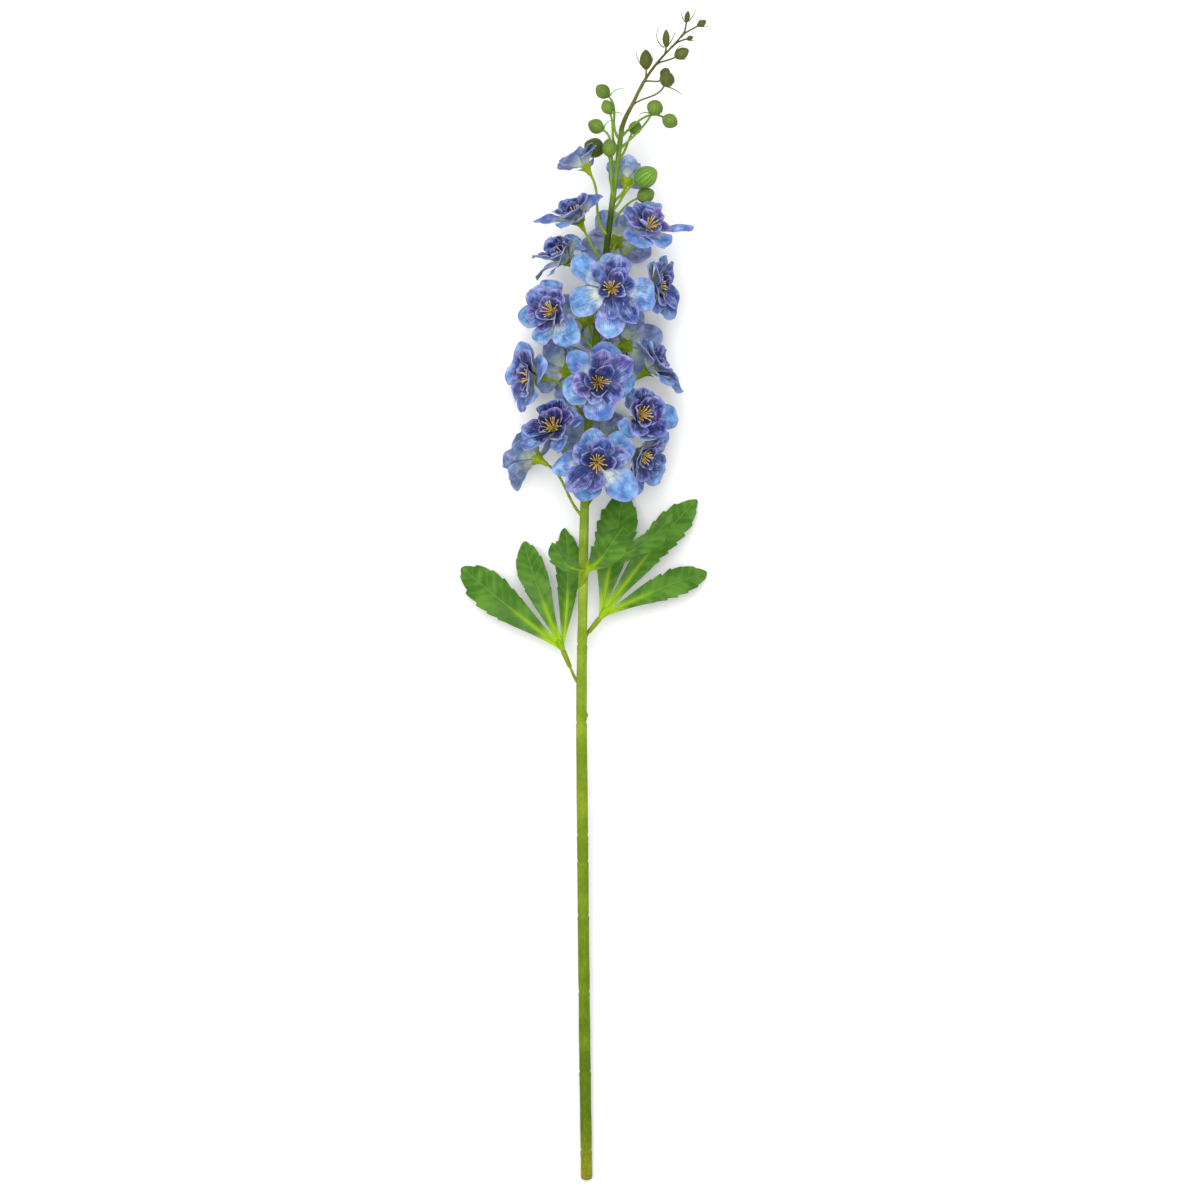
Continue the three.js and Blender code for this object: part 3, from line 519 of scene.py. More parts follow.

# ---- florets -------------------------------------------------------------------------------------
# Cut from thin printed cloth: rings of petals with a hole in the middle are pushed on to the stalk over its
# cup, and pressed to shape while hot. The outer ring lies open, the middle one stands, and the inner one
# cups the stamens.

# How each floret faces: turn round the stem, from 0 straight up to 90 to the right, and nod towards the
# tip, in degrees. open is 1 on a wide open floret and size is against a full-grown one; room is its share
# of the space between it and a neighbour. lilac is the share of violet in its print, and deep how dark the
# feet of its petals are, by dark ink and painted shade. A ring of petals is a list of (angle seen from the
# front, from the right round by the stem's tip; length; half width), in millimetres; a ring that is left out
# has like petals, and spin is the angle of its first.
FLORETS = {
    "floret_01": dict(
        turn=0, nod=-3, open=1.0, size=1.0, room=1.15, lilac=0.1, deep=0.5,
        outer=[(38, 32.7, 13), (108, 26.4, 9.5), (178, 33.8, 10), (248, 31.7, 12), (317, 38.5, 12.5)],
        middle=[(8, 26.6, 8.5), (62, 23, 9.5), (150, 21.5, 9), (212, 33, 10.5), (258, 24, 8.5)],
        inner=[(345, 19, 6), (150, 16, 6), (70, 15, 6), (215, 13, 5)],
    ),
    "floret_02": dict(turn=56, nod=-24, spin=40, open=0.75, size=0.88, lilac=0.2, deep=0.7),
    "floret_03": dict(
        turn=-122, nod=28, open=0.75, size=1.0, lilac=0.3, deep=0.5,
        outer=[(15, 30, 11.5), (85, 30, 12.5), (150, 28, 11), (262, 31, 7.5), (305, 28, 7)],
    ),
    "floret_04": dict(turn=178, nod=6, spin=0, open=0.9, size=0.92, lilac=0.2, deep=0.3),
    "floret_05": dict(
        turn=-25, nod=34, open=0.85, size=1.0, lilac=0.4, deep=1.0,
        outer=[(20, 30, 10), (95, 27, 11), (195, 30, 10.5), (235, 30, 10.5), (300, 29, 7)],
        middle=[(95, 27, 12.5), (200, 25, 10), (240, 22, 9), (5, 23, 9), (320, 19, 8)],
        inner=[(60, 16, 7), (140, 15, 7), (240, 13, 6)],
    ),
    "floret_06": dict(
        turn=30, nod=9, open=0.8, size=0.96, lilac=0.25, deep=0.75,
        outer=[(60, 27, 10), (120, 27, 9.5), (215, 28, 8.5), (288, 32, 12), (350, 29, 10.5)],
        middle=[(100, 23, 10), (165, 21, 8.5), (235, 21, 8.5), (310, 25, 9.5), (20, 21, 9)],
        inner=[(60, 15, 6.5), (160, 14, 6.5), (270, 13, 6), (330, 13, 6)],
    ),
    "floret_07": dict(
        turn=2, nod=3, open=1.0, size=1.0, room=1.15, lilac=0.35, deep=0.6,
        outer=[(68, 30.6, 12.5), (133, 32.7, 9.5), (197, 27, 12.5), (268, 33.8, 12), (358, 32.7, 10.5)],
        middle=[(28, 31, 11), (306, 24, 10.5), (190, 23, 10.5), (88, 26.6, 8.5), (245, 19, 8)],
        inner=[(50, 20, 6.5), (180, 15.5, 6.5), (290, 15, 7), (120, 17, 5)],
    ),
    "floret_08": dict(turn=-62, nod=6, spin=20, open=0.8, size=0.95, lilac=0.4, deep=0.7),
    "floret_09": dict(turn=-165, nod=5, spin=50, open=0.9, size=0.9, lilac=0.2, deep=0.4),
    "floret_10": dict(turn=76, nod=36, spin=80, open=0.75, size=0.9, lilac=0.3, deep=1.0),
    "floret_11": dict(turn=163, nod=0, spin=15, open=0.9, size=0.9, lilac=0.2, deep=0.4),
    "floret_12": dict(turn=-174, nod=10, spin=30, open=0.9, size=0.88, lilac=0.2, deep=0.3),
    "floret_13": dict(
        turn=-30, nod=7, open=0.85, size=0.97, room=1.1, lilac=0.25, deep=0.6,
        outer=[(88, 30, 10), (140, 28, 10), (200, 27, 10), (260, 28, 8.5), (308, 34, 12.5)],
        middle=[(130, 22, 9.5), (195, 21, 9.5), (250, 19, 8), (340, 19, 8), (60, 20, 8.5)],
        inner=[(30, 14, 6.5), (120, 14, 6.5), (210, 14, 6.5), (300, 14, 6.5)],
    ),
    "floret_14": dict(
        turn=3, nod=7, open=1.0, size=1.02, room=1.3, lilac=0.15, deep=0.5,
        outer=[(86, 28.5, 12.5), (147, 37, 10.5), (200, 37, 12), (269, 38, 11.5), (347, 33.8, 12.5)],
        middle=[(75, 25, 9.5), (294, 36, 8.5), (270, 26, 9.5), (128, 21.6, 7.5), (20, 18, 8)],
        inner=[(68, 19.5, 7.5), (40, 16, 5.5), (338, 17, 5.2), (200, 13, 6)],
    ),
    "floret_15": dict(turn=64, nod=0, spin=10, open=0.8, size=0.95, lilac=0.25, deep=0.75),
    "floret_16": dict(turn=-64, nod=42, spin=25, open=0.75, size=0.95, lilac=0.2, deep=1.0),
    "floret_17": dict(turn=177, nod=10, spin=60, open=0.9, size=0.86, lilac=0.3, deep=0.5),
    "floret_18": dict(
        turn=-40, nod=47, open=0.6, size=0.84, lilac=0.3, deep=0.6,
        outer=[(62, 30, 11), (135, 23, 8.5), (205, 33, 7.5), (270, 23, 8), (330, 27, 6.5)],
    ),
    "floret_19": dict(
        turn=24, nod=34, open=0.75, size=0.88, lilac=0.5, deep=0.5,
        outer=[(75, 30, 8.5), (150, 23, 9), (222, 30, 13), (285, 28, 10.5), (338, 33, 3)],
        middle=[(120, 21, 9.5), (180, 18, 8.5), (250, 17, 8), (352, 18, 4.5), (60, 19, 8.5)],
        inner=[(100, 15, 7), (200, 13, 6), (300, 13, 6)],
    ),
    "floret_20": dict(turn=165, nod=52, spin=30, open=0.5, size=0.62, lilac=0.3, deep=0.4),
    "floret_21": dict(turn=-103, nod=58, spin=40, open=0.5, size=0.66, lilac=0.3, deep=0.2),
}
END_RING = 0.4 * MM  # corners this close to a piece's end belong to its last ring
STAMEN_TIPS = 9 * MM  # how far the CAD tuft of stamens reaches over the hub
CUP_DEPTH = 11 * MM
CUP_FLOOR = 1.3 * MM  # how far the floor of the cup's mouth lies under the hub

# The rings of petals: slopes in degrees where a petal leaves the hub and at its tip, and sizes in
# millimetres. curve is the radius that a petal is rolled to across, neck the share of its width where it
# starts, point how sharply it ends, turned the angle between the ring and the outer one, and start and lift
# where it leaves the hub.
WHORLS = {
    "outer": dict(
        petals=5, length=32, half=12, rise=34, lands=-12, curve=30,
        neck=0.18, point=0.62, turned=0, start=1.9, lift=-0.5,
    ),
    "middle": dict(
        petals=4, length=26, half=11, rise=53, lands=5, curve=19,
        neck=0.22, point=0.82, turned=36, start=1.7, lift=0.3,
    ),
    "inner": dict(
        petals=3, length=15, half=6.6, rise=68, lands=30, curve=9.5,
        neck=0.3, point=0.7, turned=20, start=1.6, lift=0.9,
    ),
}
CLOSING = 44  # degrees that a petal of a shut floret stands steeper than an open one's
PETAL_ROWS, PETAL_COLUMNS = 28, 21
PETAL_CLOTH = 0.36 * MM
WIDEST = 0.62


def facing(turn, nod):
    """The direction that a turn round the stem and a nod towards its tip give."""
    turn, nod = np.radians(turn), np.radians(nod)
    return np.array([np.sin(turn) * np.cos(nod), np.sin(nod), np.cos(turn) * np.cos(nod)])


def floret_axes(turn, nod):
    """Where a floret faces, and the directions across it to the right and to the stem's tip."""
    face = facing(turn, nod)
    up = unit(np.array([0, 1, 0]) - face[1] * face)
    return face, np.cross(up, face), up


def floret_hub(name, face):
    """The middle of a floret's petals: the CAD stalk's end ring, less the reach of its stamens."""
    corners = node_corners(name + "_stalk")
    height = corners @ face
    return corners[height > height.max() - END_RING].mean(0) - STAMEN_TIPS * face


hubs = {name: floret_hub(name, facing(each["turn"], each["nod"])) for name, each in FLORETS.items()}

YIELD = 5 * MM
HALF_GAP = 0.3 * MM
NEIGHBOUR_REACH = 62 * MM
TABLE_LIFT = 0.5 * MM
PRESS_DEPTH = 5 * MM


def lie_on_table(points, lift=TABLE_LIFT):
    """Points lower than a limit over the table bend along it: height becomes lift plus a decaying
    exponential."""
    limit = lift + PRESS_DEPTH
    low = np.minimum(points[..., 2] - limit, 0)
    points[..., 2] = np.where(low < 0, lift + PRESS_DEPTH * np.exp(low / PRESS_DEPTH), points[..., 2])
    return points


def give_way(points, name):
    """Petals stay on their own side of the plane between their hub and each neighbour's, which stands
    halfway or nearer the floret with less room: past a distance short of it, what is left is bent back
    by a decaying exponential."""
    hub = hubs[name]
    room = FLORETS[name].get("room", 1)
    for neighbour, other in hubs.items():
        distance = np.linalg.norm(other - hub)
        if distance == 0 or distance > NEIGHBOUR_REACH:
            continue
        toward = (other - hub) / distance
        share = room / (room + FLORETS[neighbour].get("room", 1))
        past = (points - hub) @ toward - (distance * share - HALF_GAP - YIELD)
        back = np.where(past > 0, YIELD * (1 - np.exp(-np.maximum(past, 0) / YIELD)) - past, 0)
        points = points + back[..., None] * toward
    return lie_on_table(points)


def ring_petals(floret, whorl):
    """The angle in radians, length and half width of each petal of a ring."""
    if whorl in floret:
        table = np.array(floret[whorl]) * (1, MM, MM)
    else:
        ring = WHORLS[whorl]
        angles = floret.get("spin", 0) + ring["turned"] + np.arange(ring["petals"]) * 360 / ring["petals"]
        grown = floret["size"] * MM
        table = np.array([(angle, ring["length"] * grown, ring["half"] * grown) for angle in angles])
    return [column[:, None, None] for column in (np.radians(table[:, 0]), table[:, 1], table[:, 2])]


def petal_ring(name, floret, whorl, seed):
    """The grids of one ring of petals, with the distance of each point from the petal's edge.

    A petal's middle line leaves the hub at one slope and bends evenly to another, and is the running sum of
    the cosine and sine of that slope. Across it the petal is rolled to a radius; its half width grows from
    the neck to the widest place and rounds off to the tip. The edge ripples, the midrib is a shallow
    crease, and each petal has its own small turn, tilt, length, twist and curl.
    """
    draw = np.random.default_rng(seed)
    ring = WHORLS[whorl]
    face, right, up = floret_axes(floret["turn"], floret["nod"])
    azimuth, length, half = ring_petals(floret, whorl)
    count = len(azimuth)

    def vary(spread):
        return draw.uniform(-spread, spread, count)[:, None, None]

    s = (1 - (1 - np.linspace(0, 1, PETAL_ROWS)) ** 1.35)[None, :, None]
    t = np.sin(np.linspace(-1, 1, PETAL_COLUMNS) * np.pi / 2 * 0.92)[None, None, :]
    t = t / t.max()
    closing = (1 - floret["open"]) * CLOSING
    rise = np.radians(ring["rise"] + closing * 0.7 + vary(9))
    lands = np.radians(ring["lands"] + closing + vary(16))
    length = length * (1 + vary(0.07))
    half = half * (1 + vary(0.06))
    azimuth = azimuth + vary(0.12)
    slope = rise + (lands - rise) * s**0.9 + np.radians(vary(38)) * s**4
    step = np.diff(s, axis=1, prepend=0) * length
    out = ring["start"] * MM + np.cumsum(np.cos(slope) * step, axis=1)
    forward = ring["lift"] * MM + np.cumsum(np.sin(slope) * step, axis=1)
    swell = ring["neck"] + (1 - ring["neck"]) * smoothstep(0.0, WIDEST + vary(0.05), s)
    past_widest = np.clip((s - WIDEST) / (1 - WIDEST), 0, 1)
    point = np.clip(1 - past_widest**2.1, 0, 1) ** (ring["point"] + vary(0.1))
    phase = vary(np.pi)
    width = half * swell * point * (1 + 0.035 * np.sin(15 * s + phase) * smoothstep(0.3, 0.6, s))
    rolled = ring["curve"] * MM * floret["size"] * (1 + vary(0.25))
    arc = width * t / rolled
    aside = rolled * np.sin(arc) + vary(2.4) * MM * s**2
    raised = rolled * (1 - np.cos(arc)) * smoothstep(0, 0.35, s) * (1 - 0.35 * s)
    # One side of each petal lies over its neighbour, and the petal twists a little towards its tip.
    raised = raised + (0.14 + vary(0.08) + vary(0.3) * s**2) * width * t
    raised = raised - 0.4 * MM * np.exp(-((t / 0.09) ** 2)) * (1 - s) * smoothstep(0.1, 0.3, s)
    ripple = np.sin(s * 8 + phase + 2.2 * np.sign(t)) + 0.6 * np.sin(s * 17 - 2 * phase + np.sign(t))
    raised = raised + 1.15 * MM * np.abs(t) ** 2.5 * ripple * s
    raised = raised + 0.5 * MM * np.sin(5 * s + phase) * np.cos(3.1 * t + 2 * phase) * s
    outward = np.cos(azimuth)[..., None] * right + np.sin(azimuth)[..., None] * up
    sideways = np.cross(face, outward)
    normal = np.cos(slope)[..., None] * face - np.sin(slope)[..., None] * outward
    grids = (
        hubs[name]
        + out[..., None] * outward
        + forward[..., None] * face
        + aside[..., None] * sideways
        + raised[..., None] * normal
    )
    edge = np.minimum((1 - np.abs(t)) * width, (1 - s) * length) / MM
    return give_way(grids, name), edge


def printed_cloth_group():
    """The print on a petal. Washes of two colours run into each other along it; its foot is the base
    colour, dark ink streaks out from the foot along the middle, partly the print's navy and partly painted
    shade deep in the floret, the tip colour tints a soft border, pale patches and streaks lie between fine
    veins, and an uneven pale line edges it."""
    colour, vector, value = "NodeSocketColor", "NodeSocketVector", "NodeSocketFloat"
    tree, given, out = new_group(
        "printed_cloth",
        [
            ("Where", vector),
            ("Along Across", vector),
            ("Edge", value),
            ("Lilac", value),
            ("Deep", value),
            ("Base", colour),
            ("Blue", colour),
            ("Violet", colour),
            ("Dark", colour),
            ("Tip", colour),
            ("Pale", colour),
            ("Base End", value),
            ("Dark End", value),
            ("Pale Share", value),
            ("Rim Share", value),
        ],
        [("Colour", colour), ("Height", value)],
    )
    parts = add_node(tree, "ShaderNodeSeparateXYZ", Vector=given["Along Across"]).outputs
    s, t = parts["X"], parts["Y"]
    wash = noise(tree, given["Where"], 75, 2)
    cloud = noise(tree, given["Where"], 190, 3, 0.6)
    streak = noise(tree, stretched(tree, given["Along Across"], (2.4, 22, 1)), 1.0, 4, 0.65)
    centred_streak = math_node(tree, "SUBTRACT", streak, 0.5)
    centred_cloud = math_node(tree, "SUBTRACT", cloud, 0.5)
    violet_share = math_node(tree, "ADD", math_node(tree, "MULTIPLY_ADD", wash, 3.2, -1.5), given["Lilac"])
    violet_share = math_node(tree, "MULTIPLY_ADD", centred_streak, 1.6, violet_share)
    body = mix(tree, ramp(tree, violet_share, 0.0, 1.0), given["Blue"], given["Violet"])
    # Pale patches, larger on the side away from the foot, drawn out into streaks.
    patch = math_node(tree, "MULTIPLY_ADD", centred_streak, 0.5, noise(tree, given["Where"], 95, 2))
    pale = math_node(tree, "MULTIPLY", ramp(tree, patch, 0.4, 0.8), given["Pale Share"])
    body = mix(tree, pale, body, given["Pale"])
    # The soft border, from the edge inward.
    border = math_node(tree, "SUBTRACT", 1.0, ramp(tree, given["Edge"], 0.0, 4.2))
    uneven = math_node(tree, "MULTIPLY_ADD", centred_cloud, 2.6, 0.75)
    border = math_node(tree, "MULTIPLY", border, uneven, clamp=True)
    body = mix(tree, math_node(tree, "MULTIPLY", border, 0.5), body, given["Tip"])
    # The dark ink is heaviest near the foot and along the middle, and thins out in streaks; it is partly
    # the print's navy and partly painted shade deep in the floret.
    off_middle = math_node(tree, "ABSOLUTE", math_node(tree, "MULTIPLY_ADD", t, 2.0, -1.0))
    ink_and_shade_reach = math_node(tree, "MULTIPLY_ADD", off_middle, 0.28, s)
    ink_and_shade_reach = math_node(tree, "MULTIPLY_ADD", centred_streak, 1.5, ink_and_shade_reach)
    ink_and_shade_reach = math_node(tree, "MULTIPLY_ADD", centred_cloud, 0.9, ink_and_shade_reach)
    ink_and_shade = math_node(tree, "SUBTRACT", given["Dark End"], ink_and_shade_reach)
    ink_and_shade = math_node(tree, "MULTIPLY", ramp(tree, ink_and_shade, -0.25, 0.28), given["Deep"], clamp=True)
    body = mix(tree, ink_and_shade, body, given["Dark"])
    base_reach = math_node(tree, "MULTIPLY_ADD", off_middle, 0.12, s)
    base_reach = math_node(tree, "MULTIPLY_ADD", centred_streak, 0.7, base_reach)
    base = ramp(tree, math_node(tree, "SUBTRACT", given["Base End"], base_reach), -0.16, 0.2)
    body = mix(tree, base, body, given["Base"])
    lightness = math_node(tree, "MULTIPLY_ADD", centred_cloud, 1.3, 1.0)
    lightness = math_node(tree, "MULTIPLY_ADD", centred_streak, 0.7, lightness)
    fan = math_node(tree, "MULTIPLY", math_node(tree, "SUBTRACT", t, 0.5), 62)
    wander = math_node(tree, "MULTIPLY_ADD", cloud, 3.5, fan)
    vein = math_node(tree, "POWER", math_node(tree, "ABSOLUTE", math_node(tree, "SINE", wander)), 6.0)
    vein = math_node(tree, "MULTIPLY", vein, math_node(tree, "SUBTRACT", 1.0, ramp(tree, s, 0.55, 0.95)))
    lightness = math_node(tree, "MULTIPLY_ADD", vein, -0.16, lightness)
    scaled = add_node(tree, "ShaderNodeVectorMath", operation="SCALE", first=body, Scale=lightness)
    rim = math_node(tree, "SUBTRACT", 1.0, ramp(tree, given["Edge"], 0.0, 0.6))
    strength = math_node(tree, "MULTIPLY_ADD", cloud, 2.2, -0.6)
    strength = math_node(tree, "MULTIPLY", strength, given["Rim Share"], clamp=True)
    rim = math_node(tree, "MULTIPLY", rim, strength)
    edged = mix(tree, rim, scaled.outputs[0], given["Pale"])
    tree.links.new(edged, out["Colour"])
    weave = noise(tree, given["Where"], 2600, 1)
    tree.links.new(math_node(tree, "MULTIPLY_ADD", vein, -0.7, weave), out["Height"])
    return tree


PRINTED_CLOTH = printed_cloth_group()


def cloth_material(name, colours, base_end, dark_end, pale_share, rim_share):
    """One printed face of the petal cloth, from its base, blue, violet, dark, tip and pale colours."""
    values = dict(zip(("Base", "Blue", "Violet", "Dark", "Tip", "Pale"), colours))
    values.update({"Base End": base_end, "Dark End": dark_end})
    values.update({"Pale Share": pale_share, "Rim Share": rim_share})
    attributes = (("Edge", "edge"), ("Lilac", "lilac"), ("Deep", "deep"))
    material, shader = group_material(name, PRINTED_CLOTH, 0.12 * MM, 0.1, values, attributes)
    shader.inputs["Roughness"].default_value = 0.72
    shader.inputs["Sheen Weight"].default_value = 0.03
    return material


CREAM = linear(216, 224, 206)
SKY = linear(102, 148, 196)
PERIWINKLE = linear(78, 104, 172)
BLUE = linear(48, 76, 148)
VIOLET = linear(102, 88, 160)
LILAC = linear(152, 140, 200)
NAVY = linear(26, 32, 82)
PALE = linear(200, 213, 236)

# In each palette the fourth colour, the dark one, is the print's navy at the petals' feet and also painted
# shade deep in the floret; the petals' back has the same.
OUTER_INKS = (CREAM, SKY, PERIWINKLE, BLUE, LILAC, PALE)
MIDDLE_INKS = (NAVY, PERIWINKLE, VIOLET, NAVY, LILAC, PALE)
INNER_INKS = (NAVY, BLUE, VIOLET, NAVY, LILAC, PALE)
FRONTS = {
    "outer": cloth_material("outer_print", OUTER_INKS, 0.36, 0.5, 0.38, 0.45),
    "middle": cloth_material("middle_print", MIDDLE_INKS, 0.1, 0.7, 0.35, 0.45),
    "inner": cloth_material("inner_print", INNER_INKS, 0.2, 0.84, 0.3, 0.5),
}
BACK_GREYS = [(176, 192, 168), (120, 146, 188), (122, 120, 172), (72, 86, 128)]
BACK_GREYS += [(150, 156, 200), (190, 200, 220)]
BACK = cloth_material("petal_back", [linear(*grey) for grey in BACK_GREYS], 0.34, 0.55, 0.35, 0.6)

# Stamens: a brush of golden threads with thicker ends.
STAMENS = 22
STAMEN_SIDES = 6
stamen_gold = moulded_material("stamen_gold", linear(236, 204, 104), linear(186, 136, 36), streaks=0.3)
cup_green = moulded_material("cup_green", linear(152, 172, 22), linear(104, 128, 6), streaks=0.5)


def stamen_grids(hub, face, across, other, size, draw):
    """Threads from the hub: each leans out from the way the floret faces by its own angle and bends
    upright again, 0.27 mm in radius, with a swollen end."""
    along_thread = np.linspace(0, 1, 9)
    threads = []
    for number in range(STAMENS):
        azimuth = number * 2.4 + draw.uniform(-0.3, 0.3)
        lean = np.radians(12 + 50 * ((number + 0.5) / STAMENS) ** 0.7 + draw.uniform(-6, 6))
        length = (9.0 + draw.uniform(-1.2, 1.8)) * MM * (0.5 + 0.5 * size)
        outward = np.cos(azimuth) * across + np.sin(azimuth) * other
        slope = lean * (0.55 + 0.6 * along_thread)
        step = length / (len(along_thread) - 1)
        path = (
            hub
            + 1.2 * MM * face
            + (0.7 * MM + np.cumsum(np.sin(slope)) * step)[:, None] * outward
            + (np.cumsum(np.cos(slope)) * step)[:, None] * face
        )
        radius = 0.27 * MM + 0.22 * MM * smoothstep(0.72, 0.88, along_thread)
        radius[-1] = 0.16 * MM
        threads.append(closed_ends(tube(path, radius, STAMEN_SIDES)))
    return np.stack(threads)


CUP_SIDES = 40
CUP_TEETH = 5
# The cup's outline: height over the hub and radius, in millimetres, up its outside and down into its mouth.
CUP_OUTLINE = np.array(
    [(-11.6, 1.0), (-11, 1.35), (-10.6, 1.65), (-9, 1.75), (-6.5, 2.2), (-4, 2.9), (-2.2, 3.8), (-1.2, 4.7)]
    + [(-0.95, 4.75), (-1.1, 3.6), (-1.3, 2.2), (-1.3, 0.6)]
)


def cup_grid(hub, face, across, other, size):
    """The cup turned round the way the floret faces; near its rim it has five teeth, which reach further
    out and forward by a wave round it."""
    angle = np.linspace(0, 2 * np.pi, CUP_SIDES, endpoint=False)
    height, radius = CUP_OUTLINE[:, :1] * MM, CUP_OUTLINE[:, 1:] * MM
    height = np.where(height < -CUP_FLOOR, -CUP_FLOOR + (height + CUP_FLOOR) * size, height)
    tooth = (0.5 + 0.5 * np.cos(CUP_TEETH * angle)) ** 1.5 * smoothstep(2.6 * MM, 4.8 * MM, radius)
    reach = radius + 1.9 * MM * tooth
    lift = height + 0.9 * MM * tooth
    spokes = np.cos(angle)[:, None] * across + np.sin(angle)[:, None] * other
    return hub + lift[..., None] * face + reach[..., None] * spokes


def thicken(piece, thickness, offset):
    """Cloth with a thickness, whose other face takes the piece's second material."""
    cloth = piece.modifiers.new("cloth", "SOLIDIFY")
    cloth.thickness = thickness
    cloth.offset = offset
    cloth.material_offset = 1


for number, (name, floret) in enumerate(FLORETS.items()):
    draw = np.random.default_rng(100 + number)
    face, across, other = floret_axes(floret["turn"], floret["nod"])
    hub = hubs[name]
    for order, whorl in enumerate(WHORLS):
        grids, edge = petal_ring(name, floret, whorl, 1000 * number + order)
        lilac = floret["lilac"] + draw.uniform(-0.22, 0.22, len(grids))[:, None, None]
        # How dark each petal's foot is, by dark ink and painted shade, deeper on the inner rings.
        ink_and_shade = floret["deep"] + 0.12 * order + draw.uniform(-0.2, 0.2, len(grids))
        deep = np.clip(ink_and_shade, 0, 1)[:, None, None]
        petals = piece_from_grids(
            f"{name}_{whorl}_petals",
            grids,
            [FRONTS[whorl], BACK],
            attributes={"edge": edge, "lilac": lilac, "deep": deep},
        )
        thicken(petals, PETAL_CLOTH, -1)
        place_piece(petals, name + "_petals")
    node = name + "_stalk"
    stamens = stamen_grids(hub, face, across, other, floret["size"], draw)
    moulding(name + "_stamens", stamens, stamen_gold, node)
    cup = cup_grid(hub, face, across, other, floret["size"])
    moulding(name + "_cup", cup[None], cup_green, node)
    foot = hub - (CUP_FLOOR + (CUP_DEPTH - CUP_FLOOR) * floret["size"]) * face
    stalk = closed_ends(stalk_grid(stalk_path(node_corners(node), foot, face), 0.95 * MM))
    moulding(name + "_stalk_skin", stalk[None], stalk_plastic, node)

# ---- leaves --------------------------------------------------------------------------------------
# Stamped from coated cloth, three toothed lobes to a leaf, glossy and dark above and duller below. The
# lobes run together in a thick yellow-green neck, whose peg sits in a sleeve at the end of a thin moulded
# petiole.

# For each lobe: the bearing of its tip seen from above, in degrees from the right; its greatest width and
# how far it arches, in millimetres; and which way its upper face looks.
LEAVES = {
    "leaf_left": [
        (141.4, 29, 9, (0.2, -0.25, 1)),
        (110, 22, 11, (-0.1, -0.1, 1)),
        (88.6, 21, 8, (0.35, 0, 1)),
    ],
    "leaf_right": [
        (79.3, 31, 4, (-0.2, -0.1, 1)),
        (50.9, 25, 9, (-0.2, 0.1, 1)),
        (22.4, 22, 10, (-0.1, 0.2, 1)),
    ],
    "leaf_front": [
        (142.6, 20, 6, (-0.2, -0.75, 0.6)),
        (50.9, 26, 5, (-0.3, -0.9, 0.3)),
        (32.7, 22, 7, (0.1, -0.8, 0.55)),
    ],
}
LOBE_ROWS, LOBE_COLUMNS = 121, 29
TOOTH_STEP, TOOTH_DEPTH = 10.5 * MM, 2.6 * MM
LEAF_CLOTH = 0.5 * MM
VEIN_STEP = 8.0
SLEEVE_LENGTH = 14 * MM
# The sleeve's radius in millimetres at shares of its length.
SLEEVE_OUTLINE = [(0, 0.06, 0.12, 0.85, 0.93, 1), (1.0, 1.55, 1.65, 2.1, 2.15, 1.9)]
NECK_GAP = 2.35 * MM
TIP_SPREAD, TIP_DEPTH = 7, 2.5 * MM  # degrees to either side of a lobe's bearing, and back from its tip


def lobe_tip(corners, base, bearing):
    """A lobe's tip: the middle of the leaf's corners that lie furthest from its base near a bearing."""
    away = corners - base
    off = (np.degrees(np.arctan2(away[:, 1], away[:, 0])) - bearing + 180) % 360 - 180
    reach = np.where(np.abs(off) < TIP_SPREAD, np.linalg.norm(away, axis=1), 0)
    return corners[reach > reach.max() - TIP_DEPTH].mean(0)


